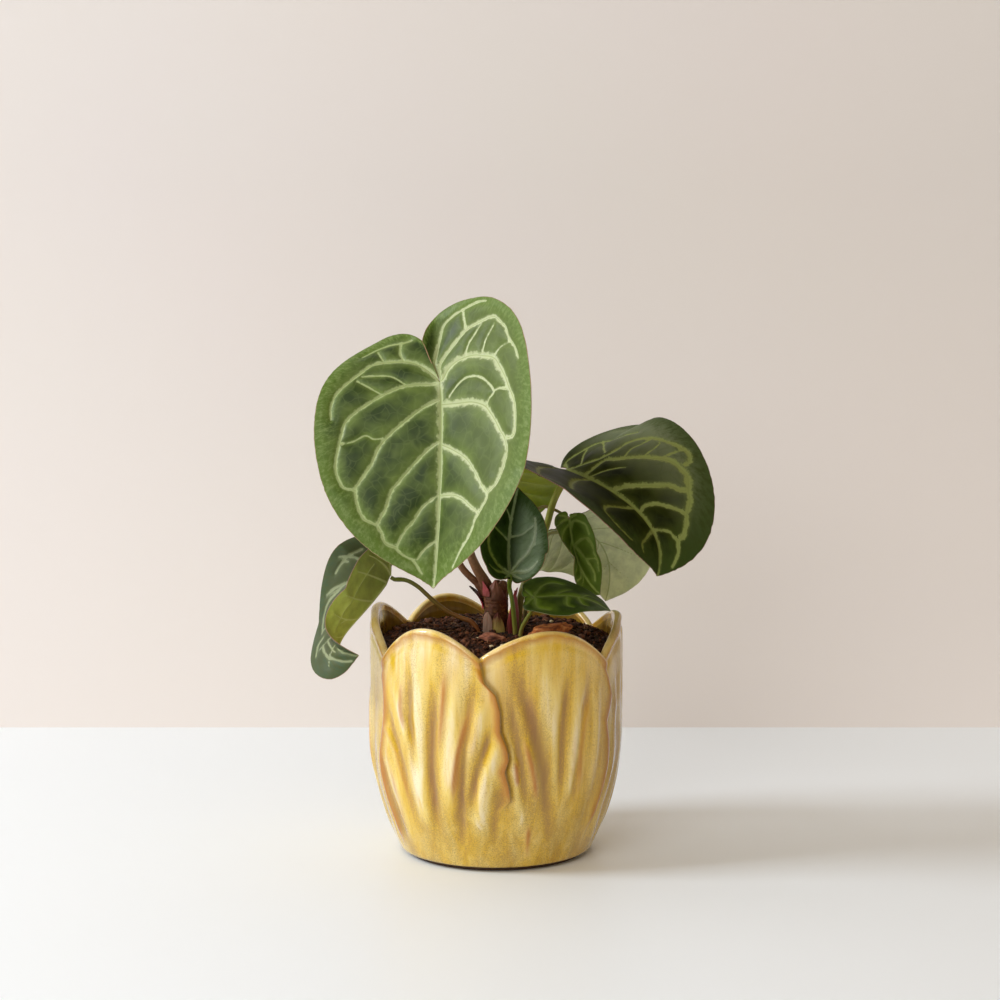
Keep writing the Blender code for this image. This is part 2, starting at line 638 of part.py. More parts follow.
def build_pits(holes, material):
    """Cutters for the plain holes and pits in the soil, each a little wider than what stands in it."""
    spare = GAP / MM
    for name, stalk in STALKS.items():
        if name in GROWN_TOGETHER:
            continue
        foot, above = (Vector(point) for point in stalk["route"][:2])
        ahead = (above - foot).normalized()
        ends = [(foot - ahead * spare) * MM, (foot + ahead * HOLE_DEPTH * 2) * MM]
        wide = stalk["radius"][0] + spare * 1.6
        tube = tube_curve("hole_" + name, ends, (wide, wide), holes)
        make_cutter(curve_to_mesh(tube, holes, material))
    wide = CROWN_FOOT + 2 * spare
    pit = turned_body("pit_crown", [(0, 150), (wide, 150), (wide, CROWN_BASE - spare), (0, CROWN_BASE - spare)],
                      holes, material, 20)
    bake(pit)
    make_cutter(pit)
    for name, scale in SCALES.items():
        if scale["foot"] > SOIL_BACK:
            continue
        wider = dict(scale, foot=scale["foot"] - spare, width=scale["width"] + 3 * spare)
        slot = build_scale("slot_" + name, wider, holes, material)
        slot.modifiers["thickness"].thickness = (SCALE_THICKNESS + 3 * spare) * MM
        make_cutter(slot)
    for name, chip in CHIPS.items():
        larger = dict(chip, size=tuple(side + 4 * spare for side in chip["size"]))
        make_cutter(rough_chip("bed_" + name, larger, holes, material))


def main():
    clear_scene()
    parts = make_collection("potted_anthurium")
    guides = make_collection("guides")
    holes = make_collection("holes")
    materials = {name: make_material(name) for name in COLOURS}

    build_pot(parts, materials["glaze"])
    build_crown(parts, guides, materials["crown"])
    for name, leaf in LEAVES.items():
        build_blade("leaf_" + name, leaf, parts, materials["blade"])
        if name not in GROWN_TOGETHER:
            tube = tube_curve("stalk_" + name, stalk_route(name), STALKS[name]["radius"], parts)
            curve_to_mesh(tube, parts, materials["stalk"])
    for name, scale in SCALES.items():
        build_scale(name, scale, parts, materials[scale["colour"]])
    for name, chip in CHIPS.items():
        rough_chip(name, chip, parts, materials["bark"])
    build_pits(holes, materials["soil"])
    build_soil(parts, holes, materials["soil"])


main()
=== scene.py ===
# Potted silver-veined anthurium in a glazed petal pot: fine shapes, finishes, stage and light
# The camera, lights and boards are placed in metres, everything else in millimetres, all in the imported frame
import math
from functools import partial

import bpy
import bmesh
import numpy as np
from mathutils import Euler, Matrix, Vector, noise


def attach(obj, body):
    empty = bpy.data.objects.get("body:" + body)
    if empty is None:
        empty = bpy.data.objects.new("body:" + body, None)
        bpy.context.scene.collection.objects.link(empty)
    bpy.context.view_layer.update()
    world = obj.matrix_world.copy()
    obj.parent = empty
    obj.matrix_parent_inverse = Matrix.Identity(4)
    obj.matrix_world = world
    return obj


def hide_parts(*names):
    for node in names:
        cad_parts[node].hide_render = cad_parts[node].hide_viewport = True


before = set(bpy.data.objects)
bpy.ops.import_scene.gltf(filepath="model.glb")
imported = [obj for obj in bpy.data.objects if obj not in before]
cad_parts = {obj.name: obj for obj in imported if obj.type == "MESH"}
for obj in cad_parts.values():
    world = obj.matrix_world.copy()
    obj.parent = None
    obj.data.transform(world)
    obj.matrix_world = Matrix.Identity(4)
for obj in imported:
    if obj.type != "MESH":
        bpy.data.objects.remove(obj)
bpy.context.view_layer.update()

mm = 0.001
chance = np.random.default_rng(7)      # one seeded source for everything that is scattered


def smooth(value):                     # soft step from 0 to 1
    value = np.clip(value, 0, 1)
    return value * value * (3 - 2 * value)


def toLinear(hexColour):               # sRGB hex to the linear values that sockets take
    parts = [int(hexColour[k:k + 2], 16) / 255 for k in (1, 3, 5)]
    return (*[p / 12.92 if p <= 0.04045 else ((p + 0.055) / 1.055) ** 2.4 for p in parts], 1)


def perSize(size):                     # scale of a texture in metres, for a pattern of this size in mm
    return 1 / (size * mm)


def setInputs(tree, node, inputs):
    # a value is a node or socket to link, a hex colour or a plain value; a node stands for its main output.
    # Sockets go by name or number: MapRange value 0, from 1 and 2, to 3 and 4; Mix factor 0, colours 6 7
    for name, value in inputs.items():
        if isinstance(value, bpy.types.Node):
            value = value.outputs[2 if value.bl_idname == "ShaderNodeMix" else 0]
        if isinstance(value, bpy.types.NodeSocket):
            tree.links.new(value, node.inputs[name])
        else:
            node.inputs[name].default_value = toLinear(value) if isinstance(value, str) else value


def addNode(tree, kind, inputs=None, stops=None, **settings):
    # a node with its settings, inputs and colour stops; every Mix node here mixes colours
    node = tree.nodes.new("ShaderNode" + kind)
    if kind == "Mix":
        node.data_type = "RGBA"
    for name, value in settings.items():
        setattr(node, name, value)
    setInputs(tree, node, inputs or {})
    if stops:
        ramp = node.color_ramp
        while len(ramp.elements) < len(stops):
            ramp.elements.new(0.5)
        for element, (place, colour) in zip(ramp.elements, stops):
            element.position = place
            element.color = toLinear(colour) if isinstance(colour, str) else (colour, colour, colour, 1)
    return node


def startMaterial(name, sockets):      # a Principled material with its plain values, and what adds its nodes
    material = bpy.data.materials.new(name)
    material.use_nodes = True
    return setSkin(material, sockets), partial(addNode, material.node_tree)


def setSkin(material, inputs):
    tree = material.node_tree
    setInputs(tree, tree.nodes["Principled BSDF"], inputs)
    return material


def layered(add, base, layers):        # colours laid over a base in turn, each as far as its factor says
    for factor, colour in layers:
        base = add("Mix", {0: factor, 6: base, 7: colour})
    return base


def addedUp(add, value, parts):        # a value plus shares of others
    for part, share in parts:
        value = add("Math", {0: part, 1: share, 2: value}, operation="MULTIPLY_ADD")
    return value


def grainMaterial(name, sockets, grain, stops, along=None):
    # one noise, drawn out along an axis, gives the tone and a fine relief; "along" adds it to the way up
    material, add = startMaterial(name, sockets)
    place = add("TexCoord").outputs["Object"]
    drawn = add("Mapping", {"Vector": place, "Scale": grain.get("stretch", (1, 1, 1))})
    speckle = add("TexNoise", {"Vector": drawn, "Scale": perSize(grain["size"]), "Detail": grain["detail"],
                               "Roughness": grain.get("rough", 0.5)})
    level = speckle
    if along:
        level = addedUp(add, add("Attribute", attribute_name="up").outputs["Fac"], [(speckle, along)])
    skin = {"Base Color": add("ValToRGB", {0: level}, stops)}
    if "bump" in grain:
        strength, depth = grain["bump"]
        skin["Normal"] = add("Bump", {"Height": speckle, "Strength": strength, "Distance": depth * mm})
    return setSkin(material, skin)


def noiseAt(places, size, seed=0.0):   # smooth noise from -1 to 1 at places in mm, for lumps of this size
    shift = Vector((seed, seed * 1.7, seed * 0.6))
    return np.array([noise.noise(Vector(place) / size + shift) for place in places])


def unit(vectors):
    return vectors / np.linalg.norm(vectors, axis=-1, keepdims=True)


def aroundPot(reach, turn):            # across and forward of the pot's axis, turned from the front
    return reach * math.sin(turn), -reach * math.cos(turn)


def stackRings(rings, ends):           # a closed shell of rings of places, with a centre at either end
    rows, around = len(rings), len(rings[0])
    places = [place for ring in rings for place in ring] + list(ends)
    pairs = [[(row * around + step, row * around + (step + 1) % around) for step in range(around)]
             for row in range(rows)]
    faces = [(a, b, d, c) for row in range(rows - 1) for (a, b), (c, d) in zip(pairs[row], pairs[row + 1])]
    for row, centre in ((0, rows * around), (rows - 1, rows * around + 1)):
        faces += [(*pair, centre) for pair in pairs[row]]
    return places, faces


def addShell(parts, more, moreFaces, slot=0):          # one more shell in the places, faces and slots so far
    places, faces, slots = parts
    base = len(places)
    places.extend(np.asarray(more))
    faces.extend(tuple(int(corner) + base for corner in face) for face in moreFaces)
    slots.extend([slot] * len(moreFaces))


def makeMesh(name, places, faces, outward=True):
    mesh = bpy.data.meshes.new(name)
    mesh.from_pydata([tuple(place) for place in np.asarray(places) * mm], [], faces)
    if outward:
        bm = bmesh.new()
        bm.from_mesh(mesh)
        bmesh.ops.recalc_face_normals(bm, faces=bm.faces)
        bm.to_mesh(mesh)
        bm.free()
    return mesh


def pointNormals(mesh):
    normals = np.zeros(len(mesh.vertices) * 3, np.float32)
    mesh.vertex_normals.foreach_get("vector", normals)
    return normals.reshape(-1, 3)


def addObject(name, data):
    thing = bpy.data.objects.new(name, data)
    bpy.context.scene.collection.objects.link(thing)
    return thing


def finishPiece(name, places, faces, materials, node, slotName, slots=None, facts=None, outward=True):
    # a closed mesh from places in mm, riding on the root body in place of its node
    mesh = makeMesh(name, places, faces, outward)
    for material in materials:
        mesh.materials.append(material)
    if slots is not None:
        mesh.polygons.foreach_set("material_index", np.asarray(slots, dtype=np.int32))
    for factName, values in (facts or {}).items():
        values = np.asarray(values, dtype=np.float32)
        kind, store = ("FLOAT", "value") if values.ndim == 1 else ("FLOAT_VECTOR", "vector")
        mesh.attributes.new(factName, kind, "POINT").data.foreach_set(store, values.ravel())
    mesh.shade_smooth()
    piece = addObject(name, mesh)
    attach(piece, "root")
    if node:
        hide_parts(node)


# Camera and light

cameraView = {"place": (0.0024, -1.5, 0.41), "pitchDown": 7.5, "lens": 91.2, "film": 36, "nearest": 0.05}
studio = {
    "wallAt": 0.33, "floorHalf": 3.0, "wallTop": 2.6,
    "floor": "#ebf1f4", "wall": "#e3dedb", "wallBounceLit": "#f0eae6",
    "floorRoughness": 0.45, "wallRoughness": 0.9, "cloudSize": 300, "cloudShare": 0.03, "bounceLitBelow": 0.4,
    "aim": (0, 0, 0.16),
    "key": {"place": (-2.5, -0.5, 1.75), "size": 0.9, "power": 67, "tint": "#eef5ff"},
    "front": {"place": (-0.8, -1.9, 1.3), "size": 1.3, "power": 17, "tint": "#ffffff"},
    "sky": "#ffe2bd", "skyPower": 0.4,
}


def makeCamera():
    data = bpy.data.cameras.new("camera")
    data.lens = cameraView["lens"]
    data.sensor_width = cameraView["film"]
    data.clip_start = cameraView["nearest"]
    camera = addObject("camera", data)
    camera.location = cameraView["place"]
    camera.rotation_euler = (math.radians(90 - cameraView["pitchDown"]), 0, 0)
    bpy.context.scene.camera = camera


def makeLight(name, light):
    data = bpy.data.lights.new(name, "AREA")
    data.shape = "SQUARE"
    data.size = light["size"]
    data.energy = light["power"]
    data.color = toLinear(light["tint"])[:3]
    lamp = addObject(name, data)
    lamp.location = light["place"]
    aim = Vector(studio["aim"]) - Vector(light["place"])
    lamp.rotation_euler = aim.to_track_quat("-Z", "Y").to_euler()


def boardMaterial(name, colour, bounceLitColour, roughness, oneSided):
    # painted board, rolled: even, matt and pale, only faintly clouded, and a little lighter near the table as
    # painted bounce light
    material, add = startMaterial(name + "Paint", {"Roughness": roughness})
    place = add("TexCoord").outputs["Object"]
    cloud = add("TexNoise", {"Vector": place, "Scale": perSize(studio["cloudSize"]), "Detail": 2})
    height = add("SeparateXYZ", {0: place}).outputs["Z"]
    # painted bounce light: the board turns paler towards the table, as if lit from it
    low = add("MapRange", {0: height, 1: studio["bounceLitBelow"], 2: 0.0})
    tone = layered(add, colour, [(studio["cloudShare"], cloud.outputs["Color"]), (low, bounceLitColour)])
    setSkin(material, {"Base Color": tone})
    if oneSided:                       # clear from behind, so that the plant can be looked at from there
        nodes = material.node_tree.nodes
        facing = add("NewGeometry").outputs["Backfacing"]
        front = nodes["Principled BSDF"].outputs["BSDF"]
        board = add("MixShader", {0: facing, 1: front, 2: add("BsdfTransparent")})
        setInputs(material.node_tree, nodes["Material Output"], {"Surface": board})
    return material


def makeStage():
    half, wallAt, top = studio["floorHalf"], studio["wallAt"], studio["wallTop"]
    seam = [(-half, wallAt, 0), (half, wallAt, 0)]
    floor, wall, wallBounceLit = studio["floor"], studio["wall"], studio["wallBounceLit"]
    boards = {
        "tableTop": ([(-half, -half, 0), (half, -half, 0)] + seam[::-1],
                     boardMaterial("tableTop", floor, floor, studio["floorRoughness"], False)),
        "backWall": (seam + [(half, wallAt, top), (-half, wallAt, top)],
                     boardMaterial("backWall", wall, wallBounceLit, studio["wallRoughness"], True)),
    }
    for name, (corners, material) in boards.items():
        mesh = bpy.data.meshes.new(name)
        mesh.from_pydata(corners, [], [(0, 1, 2, 3)])
        mesh.materials.append(material)
        addObject(name, mesh)
    world = bpy.data.worlds.new("studio")
    world.use_nodes = True
    sky = {"Color": studio["sky"], "Strength": studio["skyPower"]}
    setInputs(world.node_tree, world.node_tree.nodes["Background"], sky)
    bpy.context.scene.world = world
    bpy.context.scene.view_settings.view_transform = "Standard"


makeCamera()
makeLight("key", studio["key"])
makeLight("front", studio["front"])
makeStage()
print("stage ready")


# Pot

pot = {
    "radius": 75.0, "bellyHeight": 70.0, "lowerWall": 57.0, "wall": 5.0, "floor": 6.0,
    "rimHeight": 130.0, "petalStart": 40.0, "step": 2.2, "bulge": 1.4, "ribDepth": 0.85, "ribs": 4.5,
    "columns": 84, "rows": 96, "lipRows": 12,          # across a petal, up its wall and over its lip
    "lip": 1.0, "lipWidth": 3.4, "crease": 0.8,        # thick edge of a petal over the next, the groove by it
    "rimLip": 2.7, "foldDepth": 1.3, "gutter": 0.8,    # rounded rim, depth of folds, gutter under the rim
    # radius and height down the foot ring and across the base, then up the inside, and heights further up
    "base": [(55.6, 2.6), (54.4, 2.4), (54.2, 1.0), (53.6, 0.2), (52.5, 0.0), (48.0, 0.0), (47.2, 0.4),
             (46.0, 1.2), (44.8, 0.4), (44.0, 0.0), (30.0, 0.0), (12.0, 0.0)],
    "inside": [(12.0, 6.0), (30.0, 6.0), (44.0, 6.0), (60.5, 16.0)],
    "insideHeights": (28, 40, 55, 70, 85, 98, 106, 112, 116, 120, 123), "insideTop": 125.4,
    # edge angle at the rim and the foot, height of the valley, whether it lies over its neighbour there, tip,
    # how the edge waves and below which height it melts into the wall; ribs 0 where folds are listed below
    "petals": [
        {"rim": -62, "foot": -66, "valley": 123, "over": True, "tip": 145.5, "fades": 12, "ribs": 0.0,
         "wave": (2.2, 13, 0.4)},
        {"rim": -5, "foot": 12, "valley": 130, "over": False, "tip": 145, "fades": 46, "ribs": 0.0,
         "waveAt": (0, 8, 40, 46, 54, 64, 71, 78, 87, 99, 109, 116, 127),
         "waveBy": (-10, -9, -4, 1.0, 1.1, 0.4, 3.1, 3.2, 1.4, 2.9, 2.2, -2.0, -2.5)},
        {"rim": 61, "foot": 54, "valley": 123, "over": False, "tip": 144, "fades": 24, "ribs": 1.0,
         "waveAt": (0, 20, 35, 47, 62, 77, 90, 98, 106, 123),
         "waveBy": (2, 1.4, 2.6, 4.0, 4.4, 3.6, 0.7, 3.2, 4.8, -1.0)},
        {"rim": 124, "foot": 116, "valley": 130, "over": False, "tip": 143, "fades": 20, "ribs": 1.0,
         "wave": (2.4, 12, 1.9)},
        {"rim": 180, "foot": 178, "valley": 128, "over": True, "tip": 145, "fades": 20, "ribs": 1.0,
         "wave": (2.0, 14, 3.1)},
        {"rim": 230, "foot": 236, "valley": 131.5, "over": True, "tip": 148, "fades": 20, "ribs": 1.0,
         "wave": (2.2, 12, 5.0)},
    ],
    # folds down the wall: places as (angle, height), mm proud or sunk if negative, half width, how orange
    "folds": [
        ([(-22, 124), (-24, 102), (-26, 74)], 0.7, 2.6, 0.8),
        ([(-12, 100), (-17, 73), (-20, 46)], 1.1, 2.3, 1.0),
        ([(-47, 112), (-47, 98), (-45, 85)], 0.6, 2.2, 0.8),
        ([(-65, 92), (-51, 69), (-44, 38)], 0.5, 2.2, 0.5),
        ([(-59, 75), (-53, 40), (-52, 17)], 0.6, 2.4, 0.45),
        ([(-37, 124), (-36, 84), (-34, 30)], 1.0, 4.6, 0.0),
        ([(-17, 120), (-20, 86), (-23, 40)], 0.9, 4.0, 0.0),
        ([(-6, 105), (-8, 89), (-12, 70)], 0.9, 3.4, 0.15), ([(1, 82), (-5, 58), (-8, 24)], 1.3, 4.2, 0.0),
        ([(-53, 112), (-41, 73), (-36, 30)], 0.8, 3.2, 0.1),
        ([(-28, 112), (-30, 69), (-30, 26)], -1.3, 3.6, 0.0),
        ([(-10, 114), (-14, 83), (-16, 55), (-18, 18)], -1.3, 3.0, 0.0),
        ([(-1, 92), (-6, 72), (-12, 42)], -1.1, 3.0, 0.0), ([(2, 58), (1, 16)], -1.0, 4.0, 0.0),
        ([(-41, 118), (-42, 93), (-38, 62)], -0.9, 3.2, 0.0),
        ([(-59, 100), (-48, 66), (-42, 26)], -0.9, 3.2, 0.0),
        ([(-66, 70), (-60, 40), (-56, 14)], -0.8, 3.4, 0.0),
        ([(10, 122), (18, 86), (24, 54), (28, 20)], -1.4, 4.4, 0.0),
        ([(34, 118), (31, 89), (30, 48)], -1.1, 3.4, 0.0),
        ([(47, 117), (44, 96), (41, 73), (37, 40)], -1.0, 3.0, 0.0),
        ([(6, 108), (9, 83), (14, 42)], -0.9, 2.8, 0.0), ([(13, 82), (16, 67), (19, 46)], 0.9, 2.4, 0.95),
        ([(9, 70), (10, 55)], 0.9, 1.9, 1.0), ([(46, 102), (41, 71), (41, 48)], 0.8, 2.2, 0.75),
        ([(16, 30), (17, 7)], 0.7, 1.9, 1.0), ([(5, 84), (10, 47), (14, 22)], 0.7, 3.0, 0.0),
        ([(28, 118), (26, 76), (28, 34)], 0.9, 3.8, 0.0), ([(40, 114), (37, 80), (35, 40)], 0.9, 3.2, 0.1),
        ([(22, 128), (23, 100), (25, 80)], 0.6, 4.0, 0.0), ([(52, 112), (51, 81), (48, 44)], 0.7, 2.8, 0.2),
        ([(72, 108), (68, 40)], 0.7, 2.4, 0.6), ([(100, 104), (94, 44)], 0.7, 2.2, 0.7),
        ([(134, 104), (130, 44)], 0.7, 2.2, 0.8), ([(165, 106), (162, 50)], 0.7, 2.0, 0.8),
        ([(206, 108), (208, 50)], 0.7, 2.1, 0.8), ([(243, 104), (246, 40)], 0.7, 2.2, 0.7),
        ([(276, 104), (276, 46)], 0.7, 2.2, 0.8), ([(258, 108), (262, 30)], 0.6, 3.0, 0.2),
    ],
}


def turnedRadius(height):
    share = np.minimum(height / pot["bellyHeight"], 1)
    return pot["lowerWall"] + (pot["radius"] - pot["lowerWall"]) * (1 - (1 - share) ** 1.7)


def edgeAngle(index, height):          # where a petal starts, in degrees from the front
    petal = pot["petals"][index % len(pot["petals"])]
    up = np.minimum(height / pot["rimHeight"], 1)
    angle = petal["foot"] + (petal["rim"] - petal["foot"]) * up
    if "waveAt" in petal:
        return angle + np.interp(height, petal["waveAt"], petal["waveBy"])
    size, length, phase = petal["wave"]
    return angle + size * np.sin(height / length + phase) * smooth(height / 25)


def potProfile():                      # radius, height and kind down the wall and up again
    # the kind is 0 outside, 1 inside and 0.5 on the lip
    wall, start = pot["wall"], pot["rimHeight"] - pot["rimLip"]
    profile = [(turnedRadius(z), z, 0) for z in np.linspace(start, 3.2, pot["rows"])]
    profile += [(*point, 0) for point in pot["base"]] + [(*point, 1) for point in pot["inside"]]
    profile += [(turnedRadius(z) - wall - 1, z, 1) for z in pot["insideHeights"]]
    profile.append((pot["radius"] - wall, pot["insideTop"], 1))
    for step in range(1, pot["lipRows"]):
        turn = math.pi * step / pot["lipRows"]
        radius = pot["radius"] - wall / 2 - math.cos(turn) * wall / 2
        profile.append((radius, start + math.sin(turn) * pot["rimLip"], 0.5))
    return np.array(profile, float)


def foldsAt(angle, lifted, turned):    # relief of the single folds in mm, and how orange their crests are
    relief, orange = np.zeros((2, *angle.shape))
    for stations, proud, width, tint in pot["folds"]:
        angles, heights = np.array(stations[::-1], float).T
        off = (angle - np.interp(lifted, heights, angles) + 180) % 360 - 180
        off = np.radians(off) * turned
        along = (lifted - heights[0]) / (heights[-1] - heights[0])
        ends = smooth((along + 0.14) / 0.4) * smooth((1.14 - along) / 0.4)
        relief = relief + pot["foldDepth"] * proud * np.exp(-np.abs(off / width) ** 2.2) * ends
        orange = np.maximum(orange, tint * np.exp(-(off / (width * 0.8)) ** 2) * ends)
    return relief, orange


def buildPot(materials):
    radius, height, kind = potProfile().T[:, :, None]
    outside, inside, rounded = ((kind == value) * 1.0 for value in (0, 1, 0.5))
    turned = turnedRadius(height)
    up = np.minimum(height / pot["rimHeight"], 1)
    drawn = smooth((height - pot["petalStart"]) / (pot["rimHeight"] - pot["petalStart"]))
    even = np.arange(pot["columns"]) / (pot["columns"] - 1)
    across = 0.997 * (0.55 * even + 0.45 * (0.5 - 0.5 * np.cos(math.pi * even)))[None, :]
    arch = np.sin(math.pi * across) ** 0.9
    places, facts = [], {"crest": [], "crease": [], "below": [], "fold": []}
    for index, petal in enumerate(pot["petals"]):
        following = pot["petals"][(index + 1) % len(pot["petals"])]
        start, end = edgeAngle(index, height), edgeAngle(index + 1, height)
        end = np.where(end < start, end + 360, end)
        angle = start + (end - start) * across
        wide = np.radians(end - start) * turned            # width of the petal in mm
        base = petal["valley"] + (following["valley"] - petal["valley"]) * across
        rim = base + (petal["tip"] - (petal["valley"] + following["valley"]) / 2) * arch
        lifted = height + (rim - pot["rimHeight"]) * drawn

        # an edge that lies over its neighbour stands out and has a lip, the other is sunk and has a groove
        level, lip, dip = np.zeros((3, *angle.shape))
        edges = ((across, petal, petal["over"]), (1 - across, following, not following["over"]))
        for share, edge, over in edges:
            fade = smooth((height - edge["fades"] + 8) / 16)
            level = level + (pot["step"] / 2) * (1 if over else -1) * fade * (1 - smooth(share / 0.3))
            away = share * wide / pot["lipWidth"]
            if over:
                lip = lip + np.exp(-(away - 0.35) ** 2) * fade
            else:
                dip = dip + np.exp(-(away * 1.8) ** 2) * fade
        fade = smooth(height / 12) * (1 - 0.6 * smooth((height - 122) / 8))
        lip, dip = lip * fade, dip * fade
        fan = (across - 0.5) * (1.25 - 0.3 * up) + 0.012 * np.sin(height / 9 + index * 2)
        ribs = petal["ribs"] * pot["ribDepth"] * np.cos(math.tau * pot["ribs"] * fan) * arch ** 1.5
        folds, orange = foldsAt(angle, lifted, turned)
        # folds stop before the edges
        folds = folds * smooth(across * wide / 5) * smooth((1 - across) * wide / 5) + ribs
        upper = smooth(up * 5) * (1 - 0.7 * smooth((lifted - rim + 9) / 7))
        form = level + pot["bulge"] * (arch - 0.6)
        relief = (form + pot["lip"] * lip - pot["crease"] * dip) * smooth(up * 5) + folds * upper
        relief = relief - pot["gutter"] * np.exp(-((rim - lifted - 6.8) / 2.4) ** 2) * outside
        # rows inside the rim and on the rounded lip follow the petals' steps only
        within = form * smooth((height - 116) / 9)
        overLip = within + (relief - within) * smooth((radius - 70.2) / 4.5)
        reach = radius + outside * relief + inside * within + rounded * overLip
        turn = np.radians(angle)
        places.append(np.stack([reach * np.sin(turn), -reach * np.cos(turn), lifted], -1))
        facts["crest"].append(np.clip(np.maximum(orange * upper, 0.95 * lip), 0, 1) * (1 - 0.5 * inside))
        facts["crease"].append(dip * outside)
        facts["below"].append(np.clip(rim - lifted, -3, 60))
        facts["fold"].append(folds * upper * outside)
    grid = np.concatenate(places, 1)
    rows, columns = grid.shape[:2]
    points = grid.reshape(-1, 3)
    sway = 0.22 * noiseAt(points, 24, 2.0) + 0.1 * noiseAt(points, 9, 5.0)     # hand-pressed unevenness
    outward = points * [1, 1, 0] / np.maximum(np.linalg.norm(points[:, :2], axis=1), 1)[:, None]
    points = points + outward * (sway * smooth((points[:, 2] - 4) / 10))[:, None]

    numbers = np.arange(rows * columns).reshape(rows, columns)
    faces, slots = [], []
    baseEnd = pot["rows"] + len(pot["base"])
    for row in range(rows):
        if row == baseEnd - 1:
            continue                   # the two discs at the middle are closed below
        slot = 1 if pot["rows"] <= row < baseEnd else (2 if baseEnd + 1 < row < rows - pot["lipRows"] else 0)
        here, after = numbers[row], numbers[(row + 1) % rows]
        faces += list(zip(here, np.roll(here, -1), np.roll(after, -1), after))
        slots += [slot] * columns
    for row, slot in ((baseEnd - 1, 1), (baseEnd, 2)):
        centre = np.full(columns, len(points) + slot - 1)
        faces += list(zip(numbers[row], np.roll(numbers[row], -1), centre))
        slots += [slot] * columns
    points = np.vstack([points, [(0, 0, 0), (0, 0, pot["floor"])]])
    facts = {fact: np.append(np.concatenate(values, 1), [0, 0]) for fact, values in facts.items()}
    finishPiece("petalPot", points, faces, materials, "pot", "glaze", slots, facts)


glaze = {
    "valley": "#ae7c32", "flank": "#e0b834", "ridge": "#eed374", "cream": "#f7e8be", "speck": "#8a6834",
    "orange": "#b4700f", "creaseShade": "#6e4a12", "band": "#b97c1e", "lip": "#f0d690", "shade": "#6e4c12",
    "inside": "#6c4c14", "insideLight": "#927024", "clay": "#3c2a1f", "clayLight": "#5e4431",
    "roughness": 0.07, "drawn": 0.12,  # patterns are drawn out down the wall by this share
    # size of each pattern in mm, detail, roughness, distortion, and whether it is drawn out
    "patterns": {"run": (7.0, 4, 0.6, 0.5, True), "milk": (11, 4, 0.6, 0, True),
                 "sway": (9, 3, 0.5, 0, False), "speck": (0.6, 2, 0.7, 0, False),
                 "patch": (14, 2, 0.5, 0, True), "warm": (4, 3, 0.5, 0, True)},
}


def glazeMaterial():
    # stoneware under a runny reactive glaze, fired: a glassy coat, pale on the folds, brown where it pools
    # between them and orange where it runs thin on the edges
    material, add = startMaterial("reactiveGlaze", {
        "IOR": 1.52, "Specular IOR Level": 0.3, "Coat Weight": 0.75, "Coat Roughness": 0.03})
    place = add("TexCoord").outputs["Object"]
    sideways = add("SeparateXYZ", {0: place}).outputs["X"]
    drawn = add("Mapping", {"Vector": place, "Scale": (1, 1, glaze["drawn"])})
    crest, crease, below, fold = (add("Attribute", attribute_name=fact).outputs["Fac"]
                                  for fact in ("crest", "crease", "below", "fold"))
    run, milk, sway, speck, patch, warm = (
        add("TexNoise", {"Vector": drawn if isDrawn else place, "Scale": perSize(size), "Detail": detail,
                         "Roughness": rough, "Distortion": distortion})
        for size, detail, rough, distortion, isDrawn in glaze["patterns"].values())
    # the glaze's thickness follows the folds, unevenly
    uneven = add("Math", {0: run, 1: 3.4, 2: -1.7}, operation="MULTIPLY_ADD")
    depth = add("MapRange", {0: add("Math", {0: fold, 1: uneven}, operation="ADD"), 1: -2.15, 2: 1.95})
    body = add("ValToRGB", {0: depth}, [(0.08, glaze["valley"]), (0.45, glaze["flank"]),
                                        (0.72, glaze["ridge"]), (0.95, glaze["cream"])])
    # milky towards the petal's top, and more so on the lit left as painted light, then an orange-brown band
    # under the lip, and the lip itself pale
    milkStep = add("MapRange", {0: milk, 1: 0.4, 2: 0.62, 4: 0.5})
    near = add("MapRange", {0: below, 1: 50.0, 2: 9.0})
    # painted light: the milky tone spreads more on the lit left and less on the shaded right
    whiter = add("MapRange", {0: sideways, 1: 8 * mm, 2: -22 * mm, 3: 0.5, 4: 1.7})
    nearTopAndLitLeft = add("Math", {0: near, 1: whiter}, operation="MULTIPLY")
    milkyAndLitLeft = add("Math", {0: nearTopAndLitLeft, 1: milkStep}, operation="MULTIPLY", use_clamp=True)
    bandAt = add("MapRange", {0: addedUp(add, below, [(sway, -5.0)]), 1: -5.0, 2: 7.0})
    bandStep = add("ValToRGB", {0: bandAt}, [(0.26, 0.0), (0.44, 0.85), (0.6, 0.5), (0.85, 0.0)])
    lipStep = add("MapRange", {0: addedUp(add, below, [(sway, 1.4)]), 1: 2.8, 2: 0.8, 4: 0.7})
    # fine sandy specks held in the glaze, most where it is thick
    specks = addedUp(add, speck, [(patch, 0.7), (depth, -0.32), (below, 0.0025)])
    speckStep = add("MapRange", {0: specks, 1: 0.73, 2: 0.95, 4: 0.6})
    creased = add("Math", {0: crease, 1: 0.5}, operation="MULTIPLY", use_clamp=True)
    warmStep = add("MapRange", {0: addedUp(add, crest, [(warm, 0.7)]), 1: 0.38, 2: 1.25, 4: 0.9})
    # painted shade: darker and browner on the right side of the pot, turned away from the light
    side = add("MapRange", {0: sideways, 1: 58 * mm, 2: 74 * mm, 4: 0.55})
    tone = layered(add, body, [(milkyAndLitLeft, glaze["cream"]), (bandStep, glaze["band"]), (lipStep, glaze["lip"]),
                               (speckStep, glaze["speck"]), (creased, glaze["creaseShade"]),
                               (warmStep, glaze["orange"]), (side, glaze["shade"])])
    gloss = add("MapRange", {0: speck, 3: glaze["roughness"] - 0.03, 4: glaze["roughness"] + 0.1})
    skin = add("Bump", {"Height": run, "Strength": 0.15, "Distance": 0.6 * mm})
    return setSkin(material, {"Base Color": tone, "Roughness": gloss, "Normal": skin})


